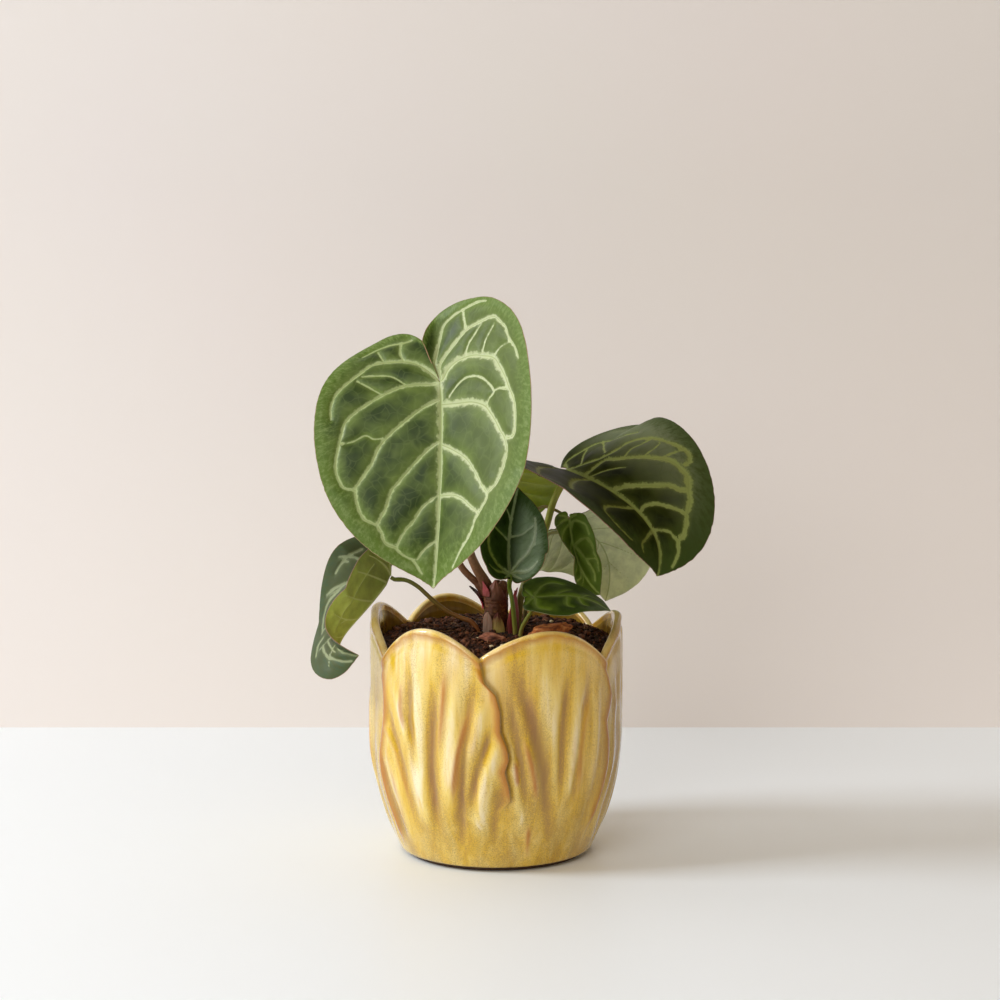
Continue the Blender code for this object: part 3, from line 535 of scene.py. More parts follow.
def insideMaterial():
    # the same glaze inside, coloured a darker olive-brown: glassy
    return grainMaterial("innerGlaze", {"IOR": 1.52, "Roughness": 0.14},
                         {"stretch": (1, 1, 0.2), "size": 9, "detail": 4, "rough": 0.6},
                         [(0.36, glaze["inside"]), (0.64, glaze["insideLight"])])


def footMaterial():
    # bare fired clay, ground level: dark, dry and grainy
    return grainMaterial("groundClay", {"Roughness": 0.85}, {"size": 0.8, "detail": 3, "bump": (0.4, 0.2)},
                         [(0.3, glaze["clay"]), (0.7, glaze["clayLight"])])


buildPot([glazeMaterial(), footMaterial(), insideMaterial()])
print("pot ready")


# Leaves

outlineAngle = np.array([0, 4, 9, 16, 25, 40, 58, 77, 95, 115, 135, 155, 168, 180], float)
outlineReach = np.array([1, 0.965, 0.94, 0.915, 0.88, 0.81, 0.715, 0.635, 0.58, 0.55, 0.53, 0.48, 0.40, 0.27])
bladeRules = {
    "throat": 140.0, "overlapLift": 0.08, "thickness": 0.72, "marginThickness": 0.45, "rimOut": 0.22,
    # the species' own veins: where and at what angle they leave the midrib, angle and share at the end, width
    "ownVeins": [(0.0, 150, 118, 0.84, 0.75), (0.0, 112, 80, 0.87, 0.85), (0.06, 66, 52, 0.88, 0.8),
                 (0.26, 46, 33, 0.89, 0.7), (0.46, 34, 21, 0.90, 0.55), (0.66, 24, 11, 0.92, 0.4)],
}

usualLook = {"feather": 0.5, "band": 0.75, "groove": 0.3, "liftBy": 0.0}

# "midrib" is a Bezier curve from the stalk's joint to the tip, "face" the way the upper side looks, and pairs
# are left and right of the midrib. "veins" run through (angle from the tip, percent of the way to the margin)
# and end with their half widths at the start and the end; "usual" lists the sides that also have the species'
# own pattern. "mesh" is rays and rings on each side. Between two places across it the blade turns towards
# its "lift" colour, painted sheen and light on that side.
frontLeaf = {
    "midrib": [(-32.5, -30, 285), (-31, -45, 257.5), (-32.5, -61.5, 209), (-35.5, -68, 170.5)],
    "face": (-0.15, -1, 0.35), "fold": [(7, 4, 0, 3), (18, 26, 42, 58)],
    "curl": [(-4, -0.5, 1.5, 1), (5.5, 3.5, -1, -3)], "lobeBend": (55, -4), "wide": (0.98, 1.02),
    "lobe": (0.85, 0.81), "sinus": (164, 200), "wave": 1.5, "mesh": (140, 104), "rib": (2.1, 0.8),
    "sink": 0.85, "throat": (164, 195), "usual": (),
    "veins": ([
        [(151, 3), (151, 12), (138, 34), (129, 49), (119, 62), (113, 71), (105, 74), (97, 79), (91, 84),
         (86, 87), (79, 88), (73, 87), 1.5, 0.6],
        [(92, 3), (92, 10), (91, 28), (86, 38), (81, 48), (76, 59), (72, 69), (68, 76), (63, 79), (56, 84),
         (52, 87), (47, 89), (41, 88), (37, 82), 1.2, 0.8],
        [(0, 8), (36, 18), (42, 29), (44, 39), (44, 50), (42, 58), (39, 66), (38, 76), (37, 82), (33, 86),
         (30, 88), (27, 89), (23, 87), 1.2, 0.9],
        [(0, 29), (10, 36), (17, 46), (21, 57), (23, 66), (22, 76), (22, 86), (20, 88), (17, 92), (13, 91),
         1.0, 1.0],
        [(0, 55), (7, 65), (10, 75), (12, 81), (13, 91), (9, 93), (7, 93), (4, 97), 0.9, 0.6],
        [(0, 77), (4, 85), (6, 92), 0.7, 0.5],
        [(152, 86), (143, 80), (136, 84), (128, 88), (118, 90), 0.8, 0.4],
        [(143, 79), (135, 64), (129, 51), 0.7, 0.8],
        [(126, 83), (122, 72), (118, 63), 0.45, 0.35],
        [(97, 73), (92, 61), (83, 48), 0.45, 0.4],
        [(101, 71), (103, 58), (104, 48), (101, 39), (91, 28), 0.45, 0.4],
        [(58, 80), (56, 71), (55, 62), (50, 57), (46, 51), 0.45, 0.4]], [
        [(185, 3), (185, 25), (173, 32), (157, 44), (148, 58), (143, 65), (134, 73), (125, 83), (116, 83),
         (109, 83), (101, 81), (92, 84), (86, 86), 1.3, 0.8],
        [(196, 3), (196, 40), (185, 51), (178, 65), (175, 77), (171, 82), (163, 86), (157, 89), (151, 92),
         (144, 95), (138, 96), 1.3, 0.5],
        [(157, 89), (153, 77), (146, 64), 0.7, 0.8],
        [(132, 73), (132, 57), (132, 48), (124, 34), 0.45, 0.5],
        [(120, 78), (117, 63), (113, 55), (106, 48), 0.45, 0.5],
        [(98, 81), (99, 69), (97, 62), (93, 57), 0.45, 0.5],
        [(144, 3), (144, 18), (130, 30), (114, 41), (104, 48), (95, 57), (86, 62), (78, 68), (73, 72),
         (69, 77), (65, 80), (60, 82), (56, 83), (54, 81), (52, 76), 2.0, 1.1],
        [(0, 11), (42, 21), (55, 33), (58, 46), (56, 54), (54, 61), (52, 68), (51, 74), (48, 79), (45, 80),
         (40, 81), (36, 81), (31, 79), 2.0, 1.1],
        [(33, 11), (72, 16), (86, 25), (84, 36), (78, 45), (70, 55), (64, 50), (58, 48), 0.5, 0.55],
        [(70, 55), (72, 61), (72, 69), 0.55, 0.5],
        [(0, 31), (15, 40), (24, 50), (27, 59), (29, 70), (31, 80), (28, 82), (25, 83), 1.5, 1.0],
        [(0, 56), (11, 62), (17, 68), (21, 75), (25, 83), (23, 84), (21, 87), (18, 90), (14, 93), (11, 98),
         1.3, 0.7]]),
    "look": {"dark": "#293a12", "light": "#617335", "lift": "#616f39", "liftFrom": (-4, 34), "liftBy": 0.55,
             "margin": "#587024", "vein": "#b9c296", "veinLeft": "#9eac76", "core": "#77843c",
             "net": "#78894f", "edge": "#a07a5e", "under": "#8b9a55", "underVein": "#a9b070",
             "feather": 0.36, "shine": 0.28, "band": 0.92, "groove": 0.6},
}
rightLeaf = {
    "midrib": [(42, 13.5, 229), (56.5, -23.5, 229), (105, -52.5, 210.5), (93.5, -49, 174.5)],
    "face": (-0.15, -0.5, 0.9), "fold": [(27, 34, 28, 32), (26, 14, 28, 28)],
    "curl": [(0.5, 0, 3, -0.5), (-2.5, -2.5, -3.5, -1)], "lobeBend": (10, 21), "wide": (0.89, 0.87),
    "lobe": (0.92, 0.51), "sinus": (172, 170), "wave": 1.5, "mesh": (130, 96), "rib": (1.9, 0.7),
    "sink": 0.75, "usual": (),
    "veins": ([
        [(0, 25), (28, 39), (36, 56), (40, 77), 1.4, 1.1],
        [(0, 59), (20, 70), (26, 81), (25, 86), (22, 90), (18, 92), (16, 92), 1.1, 0.5],
        [(0, 75), (6, 84), (10, 90), (10, 95), 1.1, 0.6],
        [(64, 6), (64, 45), (55, 90), 1.2, 0.7],
        [(160, 8), (120, 30), (96, 52), (84, 70), (76, 84), 1.3, 0.7],
        [(172, 14), (160, 40), (146, 62), (128, 80), 1.1, 0.6]], [
        [(168, 5), (166, 35), (158, 60), (139, 59), (117, 58), (101, 60), (82, 61), (64, 73), 1.0, 0.7],
        [(47, 3), (47, 16), (47, 30), (50, 44), (54, 54), (53, 64), (50, 73), (45, 80), (41, 86), (38, 91),
         (35, 91), (32, 87), 0.9, 1.2],
        [(0, 19), (37, 32), (35, 42), (34, 51), (33, 60), (32, 68), (32, 75), (31, 80), (29, 83), (27, 86),
         (24, 86), 1.2, 1.6],
        [(24, 86), (21, 86), (19, 87), (15, 87), (13, 88), (10, 90), (7, 90), (6, 94), (4, 98), 1.6, 0.7],
        [(37, 48), (44, 55), (46, 64), (48, 72), 0.5, 0.4],
        [(35, 62), (39, 69), (43, 76), 0.45, 0.4],
        [(33, 73), (36, 80), (39, 90), 0.6, 0.5],
        [(59, 15), (112, 34), (115, 54), 0.5, 0.5],
        [(59, 38), (94, 51), (102, 62), 0.6, 0.5],
        [(0, 43), (3, 44), (9, 52), (13, 60), (16, 68), (19, 75), (20, 81), (22, 86), 1.6, 1.3],
        [(0, 63), (4, 65), (8, 70), (11, 77), (13, 82), (14, 87), 1.0, 0.9],
        [(0, 75), (5, 83), (6, 87), (7, 91), 0.9, 0.6],
        [(3, 23), (18, 32), (23, 41), (24, 47), 0.5, 0.35]]),
    "look": {"dark": "#141903", "light": "#353b10", "lift": "#828c6a", "liftFrom": (12, 44), "liftBy": 0.6,
             "margin": "#35431a", "vein": "#879151", "veinLeft": "#747c3c", "core": "#414c1e",
             "net": "#363e18", "edge": "#a3766a", "under": "#56632f", "underVein": "#7b8446", "feather": 0.7,
             "shine": 0.04, "band": 0.85, "groove": 0.15},
}
leftLeaf = {
    "midrib": [(-64, 4, 165.5), (-78.5, -14.5, 142.5), (-111, -34, 126), (-80.5, -39.5, 126)],
    "face": (-1, 0.1, 0.55), "fold": [(84, 95, 34, 11), (14, 42, 28, 46)],
    "curl": [(-2, 0, -0.5, -2), (-0.5, 1, -1, 5)], "lobeBend": (2, -9), "wide": (0.79, 0.6),
    "lobe": (0.96, 0.97), "sinus": (169, 144), "wave": 0.6, "mesh": (90, 84), "rib": (1.5, 0.6), "sink": 0.6,
    "veins": ([
        [(105, 72), (90, 75), (79, 77), (71, 79), (65, 81), 0.8, 0.5],
        [(53, 60), (48, 71), (47, 82), (44, 89), (40, 92), (31, 88), 0.8, 0.5],
        [(78, 71), (76, 77), 0.6, 0.4],
        [(18, 85), (12, 86), (9, 87), (6, 88), (4, 94), (3, 98), 0.6, 0.5],
        [(17, 79), (8, 80), (3, 83), 0.45, 0.35],
        [(25, 85), (25, 91), (21, 94), 0.9, 0.4]], [
        [(74, 61), (50, 61), (33, 66), (21, 73), (13, 77), (9, 84), 0.5, 0.4],
        [(11, 74), (9, 62), 0.45, 0.3],
        [(2, 90), (0, 84), 0.4, 0.3]]),
    "look": {"dark": "#343a20", "light": "#525a30", "lift": "#5a6248", "liftFrom": (-6, -30), "liftBy": 0.5,
             "margin": "#4c5636", "vein": "#a8b084", "veinLeft": "#aab28c", "core": "#72875a",
             "net": "#415843", "edge": "#a8806c", "under": "#b2bc5a", "underVein": "#c6cc88", "feather": 0.3,
             "shine": 0.2, "band": 0.5, "farAt": (34, 6), "groove": 0.2},
}
rearLeaf = {
    "midrib": [(-7, 18, 229), (-1, 32, 216), (9, 50, 201), (13, 58, 187)], "face": (0.1, 0.7, 0.7),
    "fold": [(-15, -10, 5, 10), (10, 10, 10, 10)], "curl": [(0, 0, 0, 0), (0, 0, 0, 0)],
    "lobeBend": (35, 35), "wide": (1.05, 0.9), "lobe": (0.4, 0.45), "sinus": (172, 172), "wave": 1.0,
    "mesh": (64, 50), "rib": (1.2, 0.5), "sink": 0.5,
    # the underside's bright yellow-green is painted light shining through the blade from behind
    "look": {"dark": "#3f5526", "light": "#54692f", "lift": "#54692f", "liftFrom": (0, 30),
             "margin": "#5d7632", "vein": "#a3b572", "veinLeft": "#a3b572", "core": "#93a564",
             "net": "#66793c", "edge": "#9c8556", "under": "#aeb836", "underVein": "#76802a", "shine": 0.3,
             "band": 0.8},
}
centreLeaf = {
    "midrib": [(8.5, -28, 172.5), (6, -19.5, 185), (8, -22, 202.5), (13, -20, 222.5)],
    "face": (-0.1, -1, 0.3), "fold": [(30, 32, 26, 14), (41, 55, 49, 48)],
    "curl": [(-2, 1, 2, 0.5), (0, 1, -0.5, 0.5)], "lobeBend": (-2, 19), "wide": (0.9, 0.68),
    "lobe": (0.45, 0.3), "sinus": (170, 166), "wave": 0.8, "mesh": (72, 64), "rib": (1.3, 0.5), "sink": 0.6,
    "usual": (),
    "veins": ([
        [(65, 3), (65, 23), (55, 47), (44, 62), (38, 72), (32, 80), (27, 84), (23, 88), 1.5, 0.8],
        [(0, 42), (19, 57), (24, 72), (26, 82), 0.6, 0.4],
        [(115, 3), (115, 23), (111, 50), (102, 65), (93, 76), 1.4, 0.6],
        [(44, 59), (47, 76), 0.5, 0.3],
        [(152, 5), (146, 40), (132, 72), 0.9, 0.4]], [
        [(79, 3), (79, 27), (71, 44), (53, 63), (41, 73), (31, 77), (24, 77), (19, 80), 1.2, 0.6],
        [(0, 38), (14, 54), (23, 72), 0.6, 0.4],
        [(0, 60), (4, 72), (7, 80), 0.5, 0.4],
        [(101, 3), (101, 34), (95, 54), (87, 70), (79, 77), 0.9, 0.4],
        [(146, 5), (140, 40), (126, 70), 0.8, 0.4]]),
    # its paler bluish half, and the pale veins on that half, are painted sheen
    "look": {"dark": "#1c2c05", "light": "#344a14", "lift": "#96ac8e", "liftFrom": (-1, -10), "liftBy": 0.8,
             "margin": "#3b5220", "vein": "#7f9040", "veinLeft": "#c2d0b8", "core": "#6d7e2c",
             "net": "#3a5020", "edge": "#8d5f45", "under": "#5f6c35", "underVein": "#7e8750", "shine": 0.1},
}
foldedLeaf = {
    "midrib": [(44, 10.5, 199.5), (45.5, 11, 191), (45.5, 2.5, 170), (62.5, 1.5, 155)],
    "face": (-0.05, -0.9, 0.2), "fold": [(23, 55, 85, 32), (13, 24, 40, 10)],
    "curl": [(-0.5, 0, 2, -0.5), (0, -1, 1.5, -1.5)], "lobeBend": (14, 12), "wide": (0.51, 0.38),
    "lobe": (0.52, 0.43), "sinus": (172, 166), "wave": 0.8, "mesh": (72, 64), "rib": (1.0, 0.45),
    "sink": 0.55, "usual": (0,),
    "veins": ([
        [(0, 41), (0, 58), (7, 77), (17, 92), 0.8, 0.4]], [
        [(0, 14), (60, 16), (76, 48), (66, 72), (48, 74), 0.8, 0.5],
        [(0, 33), (27, 45), (38, 65), (33, 85), (24, 92), (14, 94), 1.0, 0.5],
        [(0, 31), (11, 49), (13, 70), (10, 85), (5, 90), 0.9, 0.5],
        [(14, 66), (22, 84), (22, 92), 0.5, 0.3],
        [(140, 5), (134, 40), (116, 75), 0.8, 0.4]]),
    "look": {"dark": "#3f520c", "light": "#6c832a", "lift": "#7f9240", "liftFrom": (2, 16), "liftBy": 0.4,
             "margin": "#587022", "vein": "#98a858", "veinLeft": "#94a456", "core": "#7a8a3c",
             "net": "#5a6c28", "edge": "#8f7f52", "under": "#8a946a", "underVein": "#6c7648", "shine": 0.2},
}
backLeaf = {
    "midrib": [(37, 37, 191), (57.5, 53, 193), (78.5, 67, 173), (68.5, 67, 140)], "face": (-0.1, 0.75, 0.65),
    "fold": [(-25, -25, 0, 5), (-10, -10, -5, 0)], "curl": [(0, 0, 0, 0), (0, 0, 0, 0)],
    "lobeBend": (20, 20), "wide": (0.7, 0.75), "lobe": (0.25, 0.4), "sinus": (130, 172), "wave": 1.0,
    "mesh": (72, 60), "rib": (1.1, 0.5), "sink": 0.5,
    # the underside's pale grey-green is painted light shining through the blade from behind
    "look": {"dark": "#34472a", "light": "#48593a", "lift": "#48593a", "liftFrom": (0, 30),
             "margin": "#4c613a", "vein": "#93a274", "veinLeft": "#93a274", "core": "#8a9a68",
             "net": "#5a6c48", "edge": "#9d8f74", "under": "#d2d8ae", "underVein": "#88965a",
             "feather": 0.45, "shine": 0.3, "band": 0.8},
}
lowLeaf = {
    "midrib": [(22.5, -35.5, 160), (35, -36.5, 160.5), (50.5, -38.5, 165), (67, -41, 152.5)],
    "face": (0, -0.35, 1.1), "fold": [(-6, 2, -4, 5), (6, 4, -9, -18)],
    "curl": [(-1.5, -1, -0.5, -1), (0.5, 0.5, -1.5, 0.5)], "lobeBend": (-2, -11), "wide": (0.72, 0.8),
    "lobe": (0.4, 0.47), "sinus": (172, 176), "wave": 0.8, "mesh": (72, 64), "rib": (0.8, 0.35), "sink": 0.5,
    "usual": (),
    "veins": ([
        [(79, 3), (79, 66), (59, 73), 0.7, 0.4],
        [(0, 41), (26, 61), (26, 74), 0.6, 0.3],
        [(0, 55), (13, 73), (13, 82), 0.5, 0.3],
        [(144, 5), (138, 40), (118, 74), 0.7, 0.35]], [
        [(101, 3), (101, 21), (73, 58), (62, 73), (50, 76), 0.8, 0.4],
        [(0, 28), (13, 33), (29, 61), 0.6, 0.3],
        [(0, 60), (13, 74), (12, 84), 0.5, 0.3],
        [(150, 5), (144, 40), (128, 74), 0.7, 0.35]]),
    "look": {"dark": "#2c3e0c", "light": "#688026", "lift": "#4f632a", "liftFrom": (0, 16), "liftBy": 0.3,
             "margin": "#374c16", "vein": "#80924e", "veinLeft": "#788a48", "core": "#566828",
             "net": "#455a22", "edge": "#7a7a50", "under": "#6b7648", "underVein": "#858f5e", "shine": 0.18,
             "band": 0.7},
}
leaves = {"front": frontLeaf, "right": rightLeaf, "left": leftLeaf, "rear": rearLeaf, "centre": centreLeaf,
          "folded": foldedLeaf, "back": backLeaf, "low": lowLeaf}


def midribFrame(leaf):                 # distance along, place, direction, and normal carried without twist
    share = np.linspace(0, 1, 160)[:, None]
    a, b, c, d = np.array(leaf["midrib"], float)
    places = (1 - share) ** 3 * a + 3 * (1 - share) ** 2 * share * b
    places = places + 3 * (1 - share) * share ** 2 * c + share ** 3 * d
    along = np.concatenate([[0], np.cumsum(np.linalg.norm(np.diff(places, axis=0), axis=1))])
    ahead = unit(np.gradient(places, along, axis=0))
    normal = np.array(leaf["face"], float)
    normals = []
    for direction in ahead:
        normal = normal - direction * (normal @ direction)
        normal = normal / np.linalg.norm(normal)
        normals.append(normal)
    return along, places, ahead, np.array(normals)


def spine(leaf, side):                 # the midrib's frame, carried on backwards through the lobe on one side
    along, places, ahead, normals = midribFrame(leaf)
    bend = math.radians(leaf["lobeBend"][side])
    count = 40
    step = 0.6 * along[-1] / count
    place, forward, normal = places[0], ahead[0], normals[0]
    rows = []
    for k in range(count):
        turned = bend * (k + 0.5) / count
        place = place - (forward * math.cos(turned) + normal * math.sin(turned)) * step
        turned = bend * (k + 1) / count
        rows.append((-step * (k + 1), place, forward * math.cos(turned) + normal * math.sin(turned),
                     normal * math.cos(turned) - forward * math.sin(turned)))
    rows.reverse()
    back = [np.array([row[k] for row in rows]) for k in range(4)]
    return [np.concatenate([old, new]) for old, new in zip(back, (along, places, ahead, normals))]


def reachAt(leaf, side, angles):       # distance to the margin as a share of the midrib
    sinus = leaf["sinus"][side]
    scaled = np.where(angles > 90, 90 + (angles - 90) * 90 / (sinus - 90), angles)
    slopes = np.gradient(outlineReach, outlineAngle)
    slopes[0] = (outlineReach[1] - outlineReach[0]) / (outlineAngle[1] - outlineAngle[0])
    k = np.clip(np.searchsorted(outlineAngle, scaled) - 1, 0, len(outlineAngle) - 2)
    span = outlineAngle[k + 1] - outlineAngle[k]
    t = (scaled - outlineAngle[k]) / span
    reach = ((1 + 2 * t) * (1 - t) ** 2 * outlineReach[k] + t * (1 - t) ** 2 * span * slopes[k]
             + t * t * (3 - 2 * t) * outlineReach[k + 1] + t * t * (t - 1) * span * slopes[k + 1])
    sideways = np.sin(np.radians(np.minimum(scaled, 90))) ** 1.3
    reach = reach * (1 + (leaf["wide"][side] - 1) * sideways)
    return reach * (1 + (leaf["lobe"][side] - 1) * smooth((scaled - 90) / 60))


def flatPlace(leaf, side, shares, angles, length):     # across and along the leaf laid flat, in mm
    # the gap between the lobes has its own angle near the joint
    throat = leaf["throat"][side] if "throat" in leaf else bladeRules["throat"]
    opening = throat + (leaf["sinus"][side] - throat) * smooth(shares / 0.7)
    turned = np.radians(angles * opening / leaf["sinus"][side])
    reach = reachAt(leaf, side, angles) * shares * length
    return reach * np.sin(turned), reach * np.cos(turned)


def bladeSurface(leaf, side, shares, angles):          # places on the blade's middle surface, and laid flat
    along, places, ahead, normals = spine(leaf, side)
    length = along[-1]
    across, forward = flatPlace(leaf, side, shares, angles, length)

    def carried(table):
        return np.stack([np.interp(forward, along, table[:, k]) for k in range(3)], -1)

    place = carried(places)
    direction = unit(carried(ahead))
    normal = unit(carried(normals))
    sideways = np.cross(normal, direction) * (1 if side else -1)
    stations = (-0.45, 0, 0.5, 1)
    fold = np.radians(np.interp(forward / length, stations, leaf["fold"][side]))
    curl = np.radians(np.interp(forward / length, stations, leaf["curl"][side])) / 10
    curl = np.where(np.abs(curl) < 1e-6, 1e-6, curl)
    level = (np.sin(fold + curl * across) - np.sin(fold)) / curl
    raised = (np.cos(fold) - np.cos(fold + curl * across)) / curl
    ripple = np.sin(np.radians(angles * 5) + 2.1 * side) * np.clip(angles / 25, 0, 1)
    raised = raised + leaf["wave"] * shares ** 3 * ripple
    raised = raised + bladeRules["overlapLift"] * np.minimum(across, 0) ** 2
    return place + sideways * level[:, None] + normal * raised[:, None], across, forward


def smoothLine(points, count=48):      # evenly spread points on a smooth line through the given ones
    points = np.asarray(points, float)
    padded = np.vstack([points[0] * 2 - points[1], points, points[-1] * 2 - points[-2]])
    fine = []
    for k in range(len(points) - 1):
        a, b, c, d = padded[k:k + 4]
        for t in np.arange(10) / 10:
            bent = (2 * a - 5 * b + 4 * c - d) * t * t + (3 * b - a - 3 * c + d) * t ** 3
            fine.append(b + ((c - a) * t + bent) / 2)
    fine = np.array(fine + [points[-1]])
    lengths = np.concatenate([[0], np.cumsum(np.linalg.norm(np.diff(fine, axis=0), axis=1))])
    wanted = np.linspace(0, lengths[-1], count)
    return np.stack([np.interp(wanted, lengths, fine[:, k]) for k in range(fine.shape[1])], -1)


def ownVeins(leaf, side, length):      # the species' own pattern, where the photograph shows no single veins
    wide = leaf["rib"][0]
    lines = []

    def laid(share, angle):
        return np.ravel(flatPlace(leaf, side, np.array([share]), np.array([float(angle)]), length))

    for start, leaving, angle, share, width in bladeRules["ownVeins"]:
        end, first = laid(share, angle), np.array([0.0, start * length])
        turn = math.radians(leaving)
        middle = first + np.array([math.sin(turn), math.cos(turn)]) * np.linalg.norm(end - first) * 0.5
        if start == 0.0:               # the lobes' veins leave the joint and sweep round
            middle = laid(0.5, min(leaving, leaf["sinus"][side] - 12.0))
        t = np.linspace(0, 1, 9)[:, None]
        line = (1 - t) ** 2 * first + 2 * t * (1 - t) * middle + t * t * end
        lines.append((line, wide * width, wide * width * 0.45))
    return lines


def veinLines(leaf, side, length):
    lines = ownVeins(leaf, side, length) if side in leaf.get("usual", (0, 1)) else []
    for *stations, first, last in leaf.get("veins", ((), ()))[side]:
        angles, shares = np.array(stations, float).T
        across, forward = flatPlace(leaf, side, shares / 100, angles, length)
        lines.append((np.stack([across, forward], -1), first, last))
    return lines


def nearestVein(places, lines):        # distance to the nearest line in half widths, also signed, and in mm
    best, signed, plain = np.full((3, len(places)), 9.0)
    plain = plain + 90
    part = 4000                        # points at a time, to spare memory
    for points, first, last in lines:
        fine = smoothLine(points)
        start, step = fine[:-1], np.diff(fine, axis=0)
        for some in (slice(k, k + part) for k in range(0, len(places), part)):
            offset = places[some][:, None, :] - start[None]
            t = np.clip((offset * step).sum(-1) / (step * step).sum(-1), 0, 1)
            rest = offset - t[..., None] * step
            away = np.hypot(rest[..., 0], rest[..., 1])
            pick, row = away.argmin(1), np.arange(len(away))
            width = first + (last - first) * (pick + t[row, pick]) / len(start)
            distance = away[row, pick]
            side = np.sign(step[pick, 0] * rest[row, pick, 1] - step[pick, 1] * rest[row, pick, 0])
            closer = distance / width < best[some]
            best[some] = np.where(closer, distance / width, best[some])
            signed[some] = np.where(closer, side * distance / width, signed[some])
            plain[some] = np.minimum(plain[some], distance)
    return best, signed, plain


def buildLeaf(name, leaf, materials):
    rays, rings = leaf["mesh"]
    length = midribFrame(leaf)[0][-1]
    # a row for each point, the stalk's joint first: its place, the same laid flat, how far out it is, its
    # distance from the nearest vein, also signed, and from the midrib, all in half widths, and its relief
    table = [np.array([[*leaf["midrib"][0], 0, 0, 0, 0, 0, 0, 0]], float)]
    numbers = np.zeros((2, rings, rays + 1), dtype=int)
    start = 1
    for side, sign in ((0, -1), (1, 1)):
        # rays crowd towards the tip, where the outline turns fastest
        spread = np.arange(rays + 1) / rays
        rayAngles = leaf["sinus"][side] * (0.35 * spread + 0.65 * spread ** 1.6)
        ringShares = (np.arange(1, rings + 1) / rings) ** 0.85
        shares, angles = (grid.ravel() for grid in np.meshgrid(ringShares, rayAngles, indexing="ij"))
        margin = noiseAt(np.stack([angles, angles * 0, angles * 0 + side], -1), 0.9)
        wavy = 1 + 0.004 * smooth((shares - 0.9) * 10) * margin
        places, across, forward = bladeSurface(leaf, side, shares * wavy, angles)
        best, signed, plain = nearestVein(np.stack([across, forward], -1), veinLines(leaf, side, length))
        ribFirst, ribLast = leaf["rib"]
        ribWidth = ribFirst + (ribLast - ribFirst) * np.clip(forward / length, 0, 1)
        ribWidth = ribWidth * (1 - 0.9 * smooth(-forward / 3))
        fromRib = np.hypot(across, np.minimum(forward, 0))
        ribShare = np.clip(fromRib / np.maximum(ribWidth, 0.05), 0, 9)
        # sunk along the veins and quilted between them, but level at the margin and at the joint
        nearest = np.minimum(plain, fromRib)
        dent = leaf["sink"] * (0.6 - np.exp(-(nearest / 1.3) ** 2) - 1.1 * np.exp(-(nearest / 5) ** 2))
        dent = dent * smooth((1 - shares) * 12) * smooth(shares * 12)
        rows = np.column_stack([places, across * sign, forward, shares, best, signed, ribShare * sign, dent])
        if side:                       # the midrib's own points are shared by both sides
            rows = rows[np.arange(len(rows)) % (rays + 1) > 0]
            numbers[1, :, 0] = numbers[0, :, 0]
            numbers[1, :, 1:] = start + np.arange(len(rows)).reshape(rings, rays)
        else:
            numbers[0] = start + np.arange(len(rows)).reshape(rings, rays + 1)
        table.append(rows)
        start += len(rows)
    table = np.vstack(table)
    middle, flat, share, best, signed, ribShare, dents = np.split(table, (3, 5, 6, 7, 8, 9), axis=1)

    faces = []
    for side in (0, 1):
        index = numbers[side]
        for k in range(rays):
            corners = [(0, index[0, k], index[0, k + 1])]
            for ring in range(rings - 1):
                a, b, c, d = index[ring, k], index[ring + 1, k], index[ring + 1, k + 1], index[ring, k + 1]
                corners += [(a, b, c), (a, c, d)]
            faces += corners if side else [corner[::-1] for corner in corners]
    shape = makeMesh("shape", middle, faces, outward=False)
    normals = pointNormals(shape)
    bpy.data.meshes.remove(shape)

    # the blade's two faces, thinner at the margin, and one more row a little outside them for a rounded rim
    level = flat[:, :1] * 0
    thick, thin = bladeRules["thickness"], bladeRules["marginThickness"]
    half = (thick + (thin - thick) * smooth((share - 0.8) * 5)) / 2
    soft = 0.25 * noiseAt(np.hstack([flat, level]), 11, 1.3)[:, None] * smooth(share * 6)
    lifted = middle + normals * (dents + soft)
    left, right = numbers
    edge = [0, *left[:, rays], *left[-1, rays - 1::-1], *right[-1, 1:], *right[-2::-1, rays]]
    outward = np.cross(middle[np.roll(edge, -1)] - middle[np.roll(edge, 1)], normals[edge])
    outward = outward / np.maximum(np.linalg.norm(outward, axis=1, keepdims=True), 1e-6)
    rim = lifted[edge] + outward * bladeRules["rimOut"]
    count = len(middle)
    slots = [0] * len(faces) + [1] * len(faces) + [2] * (2 * len(edge))
    faces += [tuple(corner + count for corner in face[::-1]) for face in faces]
    for k, a in enumerate(edge):
        after = (k + 1) % len(edge)
        b, rimA, rimB = edge[after], 2 * count + k, 2 * count + after
        faces += [(a, rimA, rimB, b), (rimA, a + count, b + count, rimB)]
    facts = {"flat": (flat, level), "near": (best, level, share), "over": (signed, level, ribShare)}
    for fact, columns in facts.items():
        values = np.hstack(columns)
        facts[fact] = np.concatenate([values, values, values[edge]])
    places = np.concatenate([lifted + normals * half, lifted - normals * half, rim])
    finishPiece(name + "Leaf", places, faces, materials, "leaf_" + name, "blade", slots, facts)


leafFlesh = {"Subsurface Scale": 0.002, "Subsurface Radius": (0.6, 1.0, 0.2)}      # lets green light through


def veinField(add):                    # place laid flat, share of the way out, distance from a vein, barbs
    flat, near, over = (add("Attribute", attribute_name=fact).outputs["Vector"]
                        for fact in ("flat", "near", "over"))
    near, over = (add("SeparateXYZ", {0: fact}) for fact in (near, over))
    size = add("Math", {0: over.outputs["X"]}, operation="ABSOLUTE")
    gate = add("Math", {0: near.outputs["X"], 1: 0.35}, operation="SUBTRACT")
    lateral = add("Math", {0: size, 1: gate}, operation="MAXIMUM")
    rib = add("Math", {0: over.outputs["Z"]}, operation="ABSOLUTE")
    main = add("Math", {0: lateral, 1: rib}, operation="MINIMUM")
    feather = add("TexNoise", {"Vector": flat, "Scale": 1 / 1.1, "Detail": 5, "Roughness": 0.8})
    barbs = add("Math", {0: feather, 1: 0.5}, operation="SUBTRACT")
    return flat, near.outputs["Z"], main, barbs


